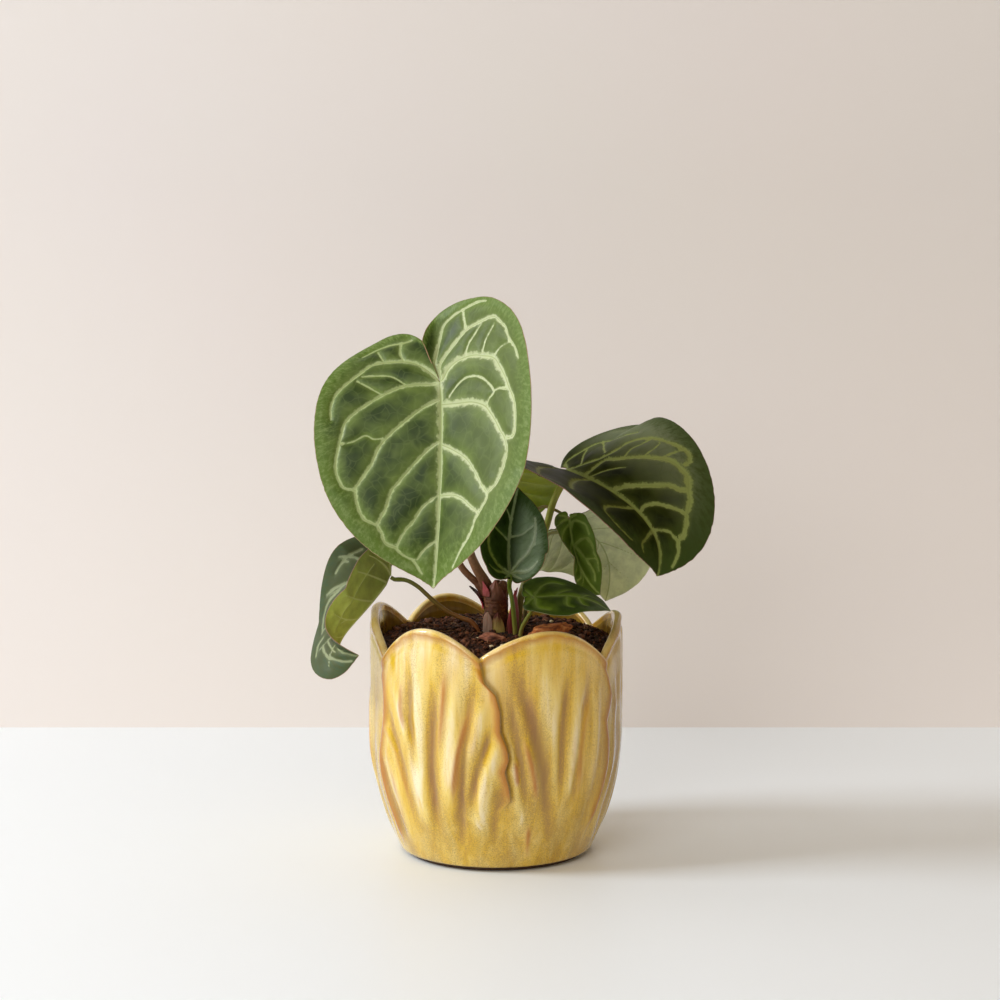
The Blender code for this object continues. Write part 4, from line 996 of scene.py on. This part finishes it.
def topMaterial(name, look):
    # living leaf, grown: a waxy velvet skin, dark between the veins, with pale air-filled bands along them
    material, add = startMaterial(name + "LeafTop", {
        **leafFlesh, "IOR": 1.42, "Specular IOR Level": look["shine"], "Subsurface Weight": 0.08})
    flat, share, main, barbs = veinField(add)
    cloud, warped, uneven, grain = (add("TexNoise", {"Vector": flat, "Scale": 1 / size, "Detail": detail})
                                    for size, detail in ((16, 2), (9, 1), (3.5, 2), (0.7, 2)))
    # darkest in the middle between the veins
    beside = add("MapRange", {0: main, 1: 7.0, 2: 1.0, 3: -0.17, 4: 0.13})
    shade = add("Math", {0: cloud, 1: beside}, operation="ADD")
    tone = add("ValToRGB", {0: shade}, [(0.27, look["dark"]), (0.7, look["light"])])
    parts = add("SeparateXYZ", {0: flat})
    across, forward = parts.outputs["X"], parts.outputs["Y"]
    # painted sheen and light: one side of the blade turns towards its own colour where the light falls on it
    first, last = look["liftFrom"]
    lift = add("MapRange", {0: across, 1: first, 2: last, 4: look["liftBy"]})
    # the zone outside the last veins is greener, with fine streaks running out to the margin
    turn = add("Math", {0: across, 1: forward}, operation="ARCTAN2")
    reach = add("VectorMath", {0: flat}, operation="LENGTH").outputs["Value"]
    polar = add("CombineXYZ", {0: turn, 1: add("Math", {0: reach, 1: 0.006}, operation="MULTIPLY")})
    streak = add("TexNoise", {"Vector": polar, "Scale": 34.0, "Detail": 4, "Roughness": 0.7})
    outer = addedUp(add, share, [(streak, 0.16)])
    zone = add("MapRange", {0: outer, 1: 0.86, 2: 1.06, 4: 0.8}, interpolation_type="SMOOTHSTEP")
    lines = add("MapRange", {0: streak, 1: 0.46, 2: 0.62, 4: 0.8})
    linesOut = add("Math", {0: lines, 1: zone}, operation="MULTIPLY")
    # faint net of the finest veins
    bent = add("VectorMath", {0: warped.outputs["Color"], 1: (9, 9, 0), 2: flat}, operation="MULTIPLY_ADD")
    net = add("TexVoronoi", {"Vector": bent, "Scale": 1 / 7}, feature="DISTANCE_TO_EDGE")
    netStep = add("MapRange", {0: net, 1: 0.08, 2: 0.0, 4: 0.17})
    # a weak glow beside each band, then the feathered band, then its thin groove
    whiter = add("MapRange", {0: across, 1: -14.0, 2: 8.0})
    veinTone = add("Mix", {0: whiter, 6: look["veinLeft"], 7: look["vein"]})
    haze = add("MapRange", {0: main, 1: 2.4, 2: 0.9, 4: 0.16})
    widened = addedUp(add, main, [(barbs, look["feather"] * 4.2), (uneven, -2.5)])
    band = add("MapRange", {0: widened, 1: 0.15, 2: -0.55, 4: look["band"]})
    groove = add("MapRange", {0: main, 1: 0.24, 2: 0.08, 4: look["groove"]})
    tone = layered(add, tone, [(lift, look["lift"]), (zone, look["margin"]), (linesOut, look["net"]),
                               (netStep, look["net"]), (haze, veinTone), (band, veinTone),
                               (groove, look["core"])])
    matt = add("MapRange", {0: cloud, 1: 0.3, 2: 0.7, 3: 0.4, 4: 0.54})
    skin = add("Bump", {"Height": grain, "Strength": 0.2, "Distance": 0.15 * mm})
    lined = add("Bump", {"Height": net, "Strength": 0.12, "Distance": 0.4 * mm, "Normal": skin})
    return setSkin(material, {"Base Color": tone, "Roughness": matt, "Normal": lined})


def underMaterial(name, look):
    # underside of the living leaf: paler and duller, with the veins standing out as ridges
    material, add = startMaterial(name + "LeafUnder", {
        **leafFlesh, "IOR": 1.4, "Roughness": 0.6, "Specular IOR Level": 0.3, "Subsurface Weight": 0.12})
    flat, share, main, barbs = veinField(add)
    cloud = add("TexNoise", {"Vector": flat, "Scale": 1 / 10, "Detail": 5, "Roughness": 0.65})
    patchy = add("MapRange", {0: cloud, 1: 0.36, 2: 0.62})
    band = add("MapRange", {0: addedUp(add, main, [(barbs, 1.2)]), 1: 0.9, 2: 0.3, 4: 0.65})
    layers = [(0.3, look["dark"]), (patchy, look["under"]), (band, look["underVein"])]
    if "farAt" in look:                # painted shadow: darker green towards the stalk, where the front leaf shades it
        first, last = look["farAt"]
        forward = add("SeparateXYZ", {0: flat}).outputs["Y"]
        layers.insert(2, (add("MapRange", {0: forward, 1: first, 2: last, 4: 0.5}), look["light"]))
    net = add("TexVoronoi", {"Vector": flat, "Scale": 1 / 6}, feature="DISTANCE_TO_EDGE")
    lined = add("Bump", {"Height": net, "Strength": 0.1, "Distance": 0.3 * mm}, invert=True)
    return setSkin(material, {"Base Color": layered(add, look["under"], layers), "Normal": lined})


def rimMaterial(name, look):
    # the blade's thickened rim, grown: a thin horny line, pinkish brown
    material, add = startMaterial(name + "LeafRim", {"IOR": 1.42, "Roughness": 0.5})
    flat = add("Attribute", attribute_name="flat").outputs["Vector"]
    blotch = add("TexNoise", {"Vector": flat, "Scale": 1 / 8, "Detail": 3})
    blotchStep = add("MapRange", {0: blotch, 1: 0.4, 2: 0.7, 4: 0.5})
    return setSkin(material, {"Base Color": layered(add, look["edge"], [(blotchStep, look["margin"])])})


for leafName, leaf in leaves.items():
    look = {**usualLook, **leaf["look"]}
    buildLeaf(leafName, leaf, [make(leafName, look) for make in (topMaterial, underMaterial, rimMaterial)])
    print(leafName, "leaf ready")


# Stalks and crown

# route from the base to just short of the blade, radius at the base and top, colours from the base to the top
stalks = {
    "front": {"route": [(-2, 0, 152), (-6.6, -1, 163), (-15, -5, 180), (-27, -19, 224), (-34, -22, 262)],
              "radius": (2.9, 2.2)},
    "rear": {"route": [(-3, 2, 148), (-10, 3, 160), (-21.6, 3, 173), (-29, 4, 194), (-20, 6, 214)],
             "radius": (2.3, 1.6)},
    "right": {"route": [(12, 8, 124), (14.5, 8, 150), (20.5, 11, 169), (30, 16.5, 193), (35, 16.5, 210)],
              "radius": (2.4, 2.0), "colours": ("#64521c", "#7c7a26", "#a3a440")},
    "left": {"route": [(-10.2, -6.4, 126), (-10.6, -6.4, 133.5), (-14.5, -6.4, 139.8), (-22, -5.8, 142.6),
                       (-30.5, -5, 146.8), (-39.2, -4.5, 154), (-47, -3, 160.8), (-54, -1, 164.2)],
             "radius": (1.5, 1.2), "colours": ("#8a4a28", "#7d5524", "#656a20")},
    "centre": {"route": [(12, -13, 126), (11, -14, 141), (9.5, -16, 155), (8, -17, 163)],
               "radius": (1.5, 1.2), "colours": ("#7a5a2a", "#6f7a2a", "#6c8428")},
    "folded": {"route": [(5, 14, 126), (6, 14, 150), (14, 17.5, 189), (26, 22.5, 204.5), (35, 20.5, 204)],
               "radius": (1.2, 0.9), "colours": ("#6a4a28", "#7a6a35", "#9a8a5a")},
    "back": {"route": [(17, 15, 126), (18.5, 16, 150), (24, 21, 176), (30.5, 27, 187)], "radius": (1.3, 1.0),
             "colours": ("#6a4a28", "#6c6a30", "#8f935a")},
    "low": {"route": [(14, -19, 126), (15, -19.5, 137), (18.4, -24, 145), (21, -29, 150)],
            "radius": (1.3, 1.1), "colours": ("#7a6a2c", "#83843c", "#8a9440")},
}
stalkShape = {"end": 2.5, "bladeGap": 0.7, "around": 22, "samples": 70, "swelling": 0.16, "swellLength": 7.0}


def stalkRoute(name):                  # the last stretch stands square to the blade's underside at the joint
    leaf, stalk = leaves[name], stalks[name]
    normal = midribFrame(leaf)[3][0]
    joint = np.array(leaf["midrib"][0], float)
    hollow = 7 + max(0, -min(leaf["fold"][0][:2] + leaf["fold"][1][:2]))       # how far the blade bends down
    depth = stalkShape["bladeGap"] + stalk["radius"][1] * math.tan(math.radians(hollow))
    end = joint - normal * depth
    below = end - normal * stalkShape["end"]
    fine = smoothLine(stalk["route"] + [tuple(below)], stalkShape["samples"])
    return np.vstack([fine, below + (end - below) * 0.5, end])


def tubeMesh(points, radii, around, seed=0.0, bumps=0.05):     # a round closed stem along points
    points = np.asarray(points, float)
    along = unit(np.gradient(points, axis=0))
    side = np.cross(along[0], (0.3, 0.8, 0.1))
    rings = []
    for k, (point, direction) in enumerate(zip(points, along)):
        side = side - direction * (side @ direction)
        side = side / np.linalg.norm(side)
        other = np.cross(direction, side)
        ring = []
        for step in range(around):
            turn = math.tau * step / around
            spot = side * math.cos(turn) + other * math.sin(turn)
            unevenness = noise.noise(Vector(point / 7 + spot * 0.8) + Vector((seed, 0, 0)))
            ring.append(point + spot * radii[k] * (1 + bumps * unevenness))
        rings.append(ring)
    return stackRings(rings, (points[0], points[-1]))


def stalkRadii(name, points):          # radius, a little swollen under the blade, and share of the way up
    first, last = stalks[name]["radius"]
    lengths = np.concatenate([[0], np.cumsum(np.linalg.norm(np.diff(points, axis=0), axis=1))])
    radii = first + (last - first) * lengths / lengths[-1]
    fromTop = (lengths[-1] - lengths) / stalkShape["swellLength"]
    swelling = stalkShape["swelling"] * np.exp(-((fromTop - 0.75) / 0.5) ** 2)
    return radii * (1 + swelling), lengths / lengths[-1]


def stalkMaterial(name, colours):
    # living stalk, grown: smooth and a little waxy, brown at the foot and green higher up, finely streaked
    skin = {"IOR": 1.42, "Roughness": 0.42, "Subsurface Weight": 0.1, "Subsurface Scale": 0.002}
    fibre = {"stretch": (1, 1, 0.12), "size": 0.8, "detail": 3, "rough": 0.6, "bump": (0.25, 0.2)}
    return grainMaterial(name + "StalkSkin", skin, fibre, list(zip((0.15, 0.5, 1.0), colours)), along=0.3)


for stalkName, stalk in stalks.items():
    if "colours" not in stalk:
        continue
    route = stalkRoute(stalkName)
    radii, ups = stalkRadii(stalkName, route)
    facts = {"up": np.concatenate([np.repeat(ups, stalkShape["around"]), [0, 1]])}
    finishPiece(stalkName + "Stalk", *tubeMesh(route, radii, stalkShape["around"], len(stalkName)),
                [stalkMaterial(stalkName, stalk["colours"])], "stalk_" + stalkName, "stalk", None, facts)
print("stalks ready")

crown = {
    "top": 160.5,
    "side": [(2.2, 160.2), (4.0, 159.2), (5.6, 157.6), (6.6, 155.6), (7.2, 153), (7.4, 150), (7.1, 146),
             (6.9, 142), (7.2, 138), (7.6, 134), (7.5, 130), (7.2, 126)],
    "around": 40, "voxel": 0.5, "easing": 4,
    # remains of old stalks on the stem: azimuth, height, how far out, radius, length
    "stubs": [(-25, 143, 5.2, 3.6, 9), (35, 139, 5.6, 3.0, 8), (-60, 136, 5.6, 3.4, 9),
              (150, 148, 5.4, 3.4, 8), (200, 138, 5.4, 3.2, 9), (95, 146, 5.2, 3.0, 8),
              (-75, 158, 5.6, 2.8, 8), (10, 158, 4.6, 2.6, 9), (70, 159, 4.8, 3.0, 10),
              (170, 159, 4.4, 2.8, 9)],
    # tones up the stem and its stalks, and the marks on them
    "tones": [(0.0, "#46290f"), (0.09, "#583112"), (0.2, "#683618"), (0.3, "#a2734e"), (0.62, "#d8ad88"),
              (1.0, "#8b8a45")],
    "scar": "#a5763f", "fleck": "#33201a",
}


def crownMaterial():
    # living stem, grown: scarred brown-red skin that turns to smooth brown and then olive stalks
    material, add = startMaterial("stemSkin", {
        "IOR": 1.42, "Subsurface Weight": 0.06, "Subsurface Scale": 0.002})
    place = add("TexCoord").outputs["Object"]
    height = add("SeparateXYZ", {0: place}).outputs["Z"]
    ringed = add("Mapping", {"Vector": place, "Scale": (1, 1, 2.4)})
    patch, fine, scar = (
        add("TexNoise", {"Vector": pattern, "Scale": perSize(size), "Detail": 4, "Roughness": rough})
        for pattern, size, rough in ((place, 5, 0.65), (place, 1.2, 0.7), (ringed, 6, 0.7)))
    level = add("MapRange", {0: addedUp(add, height, [(patch, 0.012)]), 1: 0.132, 2: 0.29})
    tone = add("ValToRGB", {0: level}, crown["tones"])
    specks = add("MapRange", {0: fine, 1: 0.35, 2: 0.7, 4: 0.45})
    scarStep = add("MapRange", {0: scar, 1: 0.52, 2: 0.64, 4: 0.6})
    below = add("MapRange", {0: level, 1: 0.3, 2: 0.2})
    scarred = add("Math", {0: scarStep, 1: below}, operation="MULTIPLY")
    tone = layered(add, tone, [(scarred, crown["scar"]), (specks, crown["fleck"])])
    rough = add("MapRange", {0: level, 1: 0.2, 2: 0.4, 3: 0.7, 4: 0.42})
    skin = add("Bump", {"Height": fine, "Strength": 0.7, "Distance": 0.6 * mm})
    return setSkin(material, {"Base Color": tone, "Roughness": rough, "Normal": skin})


def buildCrown(material):
    parts = [], [], []                 # places, faces and slots
    around = crown["around"]
    rings = [[(*aroundPot(r, math.tau * k / around), z) for k in range(around)] for r, z in crown["side"]]
    addShell(parts, *stackRings(rings, ((0, 0, crown["top"]), (0, 0, crown["side"][-1][1]))))
    for name in ("front", "rear"):
        line = stalkRoute(name)
        radii, ups = stalkRadii(name, line)
        radii = radii * (1 + 0.35 * np.exp(-(ups / 0.12) ** 2))        # flared where they leave the stem
        addShell(parts, *tubeMesh(line, radii, 28, len(name)))
    for azimuth, height, out, radius, length in crown["stubs"]:
        foot = np.array([*aroundPot(out * 0.6, math.radians(azimuth)), height - length / 2])
        tip = np.array([*aroundPot(out, math.radians(azimuth)), height + length / 2])
        line = smoothLine([foot, (foot + tip) / 2, tip], 10)
        shape = radius * np.sin(np.linspace(0.5, 2.7, 10)) ** 0.6
        addShell(parts, *tubeMesh(line, shape, 20, azimuth, 0.2))
    rough = addObject("stemParts", makeMesh("stemParts", parts[0], parts[1]))
    fused = rough.modifiers.new("fused", "REMESH")
    fused.mode = "VOXEL"
    fused.voxel_size = crown["voxel"] * mm
    eased = rough.modifiers.new("eased", "SMOOTH")
    eased.iterations = crown["easing"]
    graph = bpy.context.evaluated_depsgraph_get()
    graph.update()
    fine = bpy.data.meshes.new_from_object(rough.evaluated_get(graph))
    bpy.data.objects.remove(rough, do_unlink=True)
    points = np.zeros(len(fine.vertices) * 3, np.float32)
    fine.vertices.foreach_get("co", points)
    points, normals = points.reshape(-1, 3) / mm, pointNormals(fine)
    scarred = 1 - smooth((points[:, 2] - 156) / 12)
    push = 0.5 * noiseAt(points * [1, 1, 1.8], 3.2, 3.3) + 0.25 * noiseAt(points, 1.1, 8.0)
    points = points + normals * (push * scarred)[:, None]
    shell = [tuple(face.vertices) for face in fine.polygons]
    bpy.data.meshes.remove(fine)
    finishPiece("stemAndStalks", points, shell, [material], "crown", "crown", outward=False)


buildCrown(crownMaterial())
print("crown ready")


# Sheaths round the crown

sheaths = {
    "spike": {"azimuth": -100, "radius": 8.15, "foot": 147, "height": 13, "width": 8, "lean": 8,
              "power": 2.2, "node": "sheath_spike", "colours": ("#b8404c", "#862c30", "#2a1612")},
    "red": {"azimuth": 70, "radius": 9.6, "foot": 129, "height": 31, "width": 9, "lean": 4,
            "power": 2.2, "node": "sheath_red", "colours": ("#7a5234", "#9c4a48", "#b05058")},
    "pale": {"azimuth": 5, "radius": 9.6, "foot": 128, "height": 18, "width": 10, "lean": 0.5,
             "power": 2.2, "node": "sheath_pale", "slot": "pale",
             "colours": ("#a8924a", "#b9a35c", "#6a3a2c")},
    "collar": {"azimuth": -60, "radius": 7.9, "foot": 155, "height": 9, "width": 8, "lean": 1.2,
               "power": 2.4, "colours": ("#7a3c30", "#a4484a", "#a84c4c")},
    "collarRight": {"azimuth": 56, "radius": 14.2, "foot": 128, "height": 31, "width": 11, "lean": -0.6,
                    "power": 3.0, "colours": ("#4e2a1e", "#8c3438", "#a43c42")},
    "cap": {"azimuth": -5, "radius": 7.1, "foot": 153, "height": 12, "width": 12, "lean": -2.6,
            "power": 2.2, "colours": ("#57321d", "#7a4a34", "#86503c")},
    "flapLeft": {"azimuth": -8, "radius": 10.9, "foot": 128, "height": 6, "width": 9, "lean": 5.0,
                 "power": 1.6, "colours": ("#8a3436", "#963a3c", "#6a2a26")},
    "flapRight": {"azimuth": 34, "radius": 11.2, "foot": 128, "height": 6, "width": 9, "lean": 5.5,
                  "power": 1.6, "colours": ("#7c3032", "#8c3638", "#5a2620")},
    "stump": {"azimuth": -30, "radius": 10.6, "foot": 128, "height": 18, "width": 6, "lean": -0.4,
              "power": 7.0, "slot": "crown", "colours": ("#5e4436", "#7e6250", "#8e6e5a")},
}
sheathSkin = {"thickness": 0.6, "rows": 44, "columns": 22, "crinkle": 0.35, "ragged": 0.6}


def sheathMaterial(name, colours):
    # dry papery scale, grown: fine ribs along it, reddest where the light passes through
    skin = {"IOR": 1.42, "Roughness": 0.55, "Subsurface Weight": 0.15, "Subsurface Scale": 0.002}
    ribs = {"stretch": (1, 1, 0.1), "size": 0.7, "detail": 3, "bump": (0.5, 0.3)}
    return grainMaterial(name + "Paper", skin, ribs, list(zip((0.1, 0.6, 1.0), colours)), along=0.25)


def buildSheath(name, sheath):
    rows, columns, half = sheathSkin["rows"], sheathSkin["columns"], sheathSkin["thickness"] / 2
    inner, outer, ups = [], [], []
    for k in range(rows):
        up = k / (rows - 1)
        wide = sheath["width"] / 2 * (1 - up ** sheath["power"]) + 0.5
        for step in range(columns):
            share = step / (columns - 1) - 0.5
            angle = math.radians(sheath["azimuth"]) + share * 2 * wide / sheath["radius"]
            ripple = sheathSkin["crinkle"] * noise.noise(Vector((share * 5, up * 3, sheath["azimuth"])))
            radius = sheath["radius"] + sheath["lean"] * up ** 2 + ripple * min(up * 4, 1)
            edge = half * (1 - 0.6 * (abs(share) * 2) ** 4)
            ragged = sheathSkin["ragged"] * noise.noise(Vector((share * 9, 0, 3))) * up
            height = sheath["foot"] + sheath["height"] * up + ragged
            for reach, store in ((radius + edge, outer), (radius - edge, inner)):
                store.append((*aroundPot(reach, angle), height))
            ups.append(up)
    count = rows * columns
    faces = []
    for k in range(rows - 1):
        for step in range(columns - 1):
            a = k * columns + step
            faces.append((a, a + 1, a + columns + 1, a + columns))
            faces.append((a + columns + count, a + columns + 1 + count, a + 1 + count, a + count))
    grid = np.arange(count).reshape(rows, columns)
    loop = [*grid[0], *grid[1:, -1], *grid[-1, -2::-1], *grid[-2:0:-1, 0]]
    for a, b in zip(loop, loop[1:] + loop[:1]):
        faces.append((a, b, b + count, a + count))
    finishPiece(name + "Sheath", np.array(outer + inner), faces, [sheathMaterial(name, sheath["colours"])],
                sheath.get("node"), sheath.get("slot", "sheath"), None, {"up": np.array(ups + ups)})


for sheathName, sheath in sheaths.items():
    buildSheath(sheathName, sheath)
print("sheaths ready")


# Bark and soil

barkPieces = {
    "chip": {"size": (26, 14, 11), "place": (31, -22, 136), "turn": (0, -14, 18), "seed": 1.7,
             "node": "bark_chip", "colours": ("#5e2c12", "#bc6a30", "#e2a060")},
    "curl": {"size": (15, 8, 6), "place": (-2, -27, 133.5), "turn": (0, 8, -10), "seed": 4.2,
             "node": "bark_curl", "colours": ("#4a2616", "#90543a", "#b88460")},
}


def barkMaterial(name, colours):
    # broken pine bark, dried: matt, rust-brown, darker in its cracks
    cracks = {"stretch": (0.35, 1, 1), "size": 2.5, "detail": 5, "rough": 0.7, "bump": (0.6, 0.5)}
    stops = list(zip((0.36, 0.52, 0.7), colours))
    return grainMaterial(name + "Bark", {"Roughness": 0.85}, cracks, stops)


def ballMesh(subdivisions):
    bm = bmesh.new()
    bmesh.ops.create_icosphere(bm, subdivisions=subdivisions, radius=0.5)
    places = np.array([vertex.co[:] for vertex in bm.verts])
    faces = [tuple(vertex.index for vertex in face.verts) for face in bm.faces]
    bm.free()
    return places, faces


for barkName, bark in barkPieces.items():
    ball, ballFaces = ballMesh(6)
    push = 1 + 0.35 * noiseAt(ball * 3.1 + [bark["seed"], 0, 0], 1)
    push = push + 0.05 * noiseAt(ball * [2, 9, 11], 1, 3) + 0.03 * noiseAt(ball * [6, 22, 26], 1, 7)
    shape = ball * bark["size"] * push[:, None]
    spun = np.array(Euler([math.radians(a) for a in bark["turn"]]).to_matrix())
    materials = [barkMaterial(barkName, bark["colours"])]
    finishPiece(barkName + "Bark", shape @ spun.T + bark["place"], ballFaces, materials, bark["node"], "bark")

soil = {
    "front": 127.0, "back": 131.0, "mound": 5.0, "lump": 1.5, "radius": 66.4, "reach": 68.4,
    "rings": 110, "columns": 260,
    "underside": (18, 40, 70, 100), "clear": 2,        # heights of its rings in the pot, gap to the wall
    "clods": ((4.2, 1.2), (1.9, 0.8), (0.8, 0.35)),    # size and height of the crumbs in the surface
    "crumbs": 900, "crumbsWithin": (66, 0.02), "crumbSize": (1.0, 3.8), "barkShare": 0.3,
    "fibres": 90, "fibresWithin": (64, 0.03), "fibreLength": (4, 13),
    "stones": [(4.0, -41, 1.9), (-2.5, -42, 1.2), (-11, -26, 1.1), (12, -33, 1.0), (12.5, -42, 1.2),
               (-38, -20, 1.0), (-28, -42, 0.9), (5, -57, 1.0), (-20, 38, 1.3), (34, 30, 1.2)],
    "tones": [(0.55, "#130903"), (0.69, "#34190a"), (0.86, "#7a4420")],
}


def soilHeight(x, y):
    share = math.hypot(x, y) / soil["radius"]
    slope = (soil["front"] + soil["back"]) / 2 + (soil["back"] - soil["front"]) / 2 * y / soil["radius"]
    lump = noise.noise(Vector((x * 0.09, y * 0.09, 3.1))) * soil["lump"] * (1 - share ** 4)
    return slope + soil["mound"] * (1 - share * share) + lump


def soilTop(x, y):                     # with its clods
    height = soilHeight(x, y)
    for size, rise in soil["clods"]:
        height += rise * noise.noise(Vector((x / size, y / size, size)))
    return height


def scatter(reach, least):             # a random spot on the soil within this reach, evenly spread
    turn = chance.uniform(0, math.tau)
    return aroundPot(reach * math.sqrt(chance.uniform(least, 1)), turn)


def soilMaterial():
    # damp peat and coir mix: dark, matt, with small wet glints
    material, add = startMaterial("peatMix", {"Specular IOR Level": 0.2})
    place = add("TexCoord").outputs["Object"]
    crumb = add("TexNoise", {"Vector": place, "Scale": perSize(1.6), "Detail": 5, "Roughness": 0.75})
    patch = add("TexNoise", {"Vector": place, "Scale": perSize(12), "Detail": 2})
    tone = add("ValToRGB", {0: addedUp(add, crumb, [(patch, 0.35)])}, soil["tones"])
    damp = add("MapRange", {0: crumb, 1: 0.35, 2: 0.65, 3: 0.95, 4: 0.65})
    rough = add("Bump", {"Height": crumb, "Strength": 0.8, "Distance": 0.8 * mm})
    return setSkin(material, {"Base Color": tone, "Roughness": damp, "Normal": rough})


def bitMaterial(name, dark, light, size, roughness):
    # loose bits in the mix, broken and dry: matt, mottled at a fine scale
    mottle = {"size": size, "detail": 4, "rough": 0.7, "bump": (0.5, 0.3)}
    return grainMaterial(name, {"Roughness": roughness}, mottle, [(0.38, dark), (0.64, light)])


def buildSoil():
    parts = [], [], []                 # places, faces and slots
    columns, count = soil["columns"], soil["rings"]
    loops = [(float(turnedRadius(z)) - pot["wall"] - soil["clear"], z) for z in soil["underside"]]
    loops += [(soil["reach"] * math.sin(math.pi / 2 * (1 - k / count)) ** 0.9, None) for k in range(count)]
    rings = []
    for radius, z in loops:
        spots = [aroundPot(radius, math.tau * k / columns) for k in range(columns)]
        rings.append([(x, y, soilTop(x, y) if z is None else z) for x, y in spots])
    addShell(parts, *stackRings(rings, ((0, 0, soil["underside"][0]), (0, 0, soilTop(0, 0)))))

    ball, ballFaces = ballMesh(2)
    for k in range(soil["crumbs"]):
        x, y = scatter(*soil["crumbsWithin"])
        size = chance.uniform(*soil["crumbSize"]) * (1 if chance.uniform() < 0.75 else 1.6)
        push = 1 + 0.5 * noiseAt(ball * 2.6 + k * 1.3, 1)
        stretch = np.array([1, chance.uniform(0.5, 0.9), chance.uniform(0.4, 0.8)]) * size
        angle = chance.uniform(0, math.tau)
        spin = np.array(Matrix.Rotation(angle, 3, "Z"))
        crumb = (ball * push[:, None] * stretch) @ spin.T + (x, y, soilTop(x, y) + size * 0.12)
        addShell(parts, crumb, ballFaces, 1 if chance.uniform() < soil["barkShare"] else 0)
    for x, y, size in soil["stones"]:
        push = 1 + 0.35 * noiseAt(ball * 2 + x, 1)
        stone = ball * push[:, None] * np.array([2.2, 1.7, 1.5]) * size
        addShell(parts, stone + (x, y, soilTop(x, y) + size * 0.7), ballFaces, 2)
    for k in range(soil["fibres"]):
        x, y = scatter(*soil["fibresWithin"])
        heading, bend = chance.uniform(0, math.tau), chance.uniform(-0.25, 0.25)
        long = chance.uniform(*soil["fibreLength"])
        line = []
        for step in range(9):
            rise = 0.3 + math.sin(step / 8 * math.pi) * chance.uniform(0.2, 1.2)
            if math.hypot(x, y) < soil["crumbsWithin"][0]:
                line.append((x, y, soilTop(x, y) + rise))
            x, y = x + math.cos(heading) * long / 8, y + math.sin(heading) * long / 8
            heading += bend
        if len(line) > 4:
            fine = smoothLine(line, 14)
            addShell(parts, *tubeMesh(fine, 0.16 + 0.12 * np.sin(np.linspace(0.3, 3, 14)), 5, k), 3)
    materials = [soilMaterial(), bitMaterial("barkFines", "#3c1e0d", "#7a4522", 1.5, 0.9),
                 bitMaterial("pumice", "#b09468", "#dcc7a0", 1.0, 0.9),
                 bitMaterial("coir", "#5c3c22", "#8e6a42", 2.0, 0.85)]
    places, faces, slots = parts
    finishPiece("pottingMix", places, faces, materials, "soil", "soil", slots)


buildSoil()
print("soil ready")
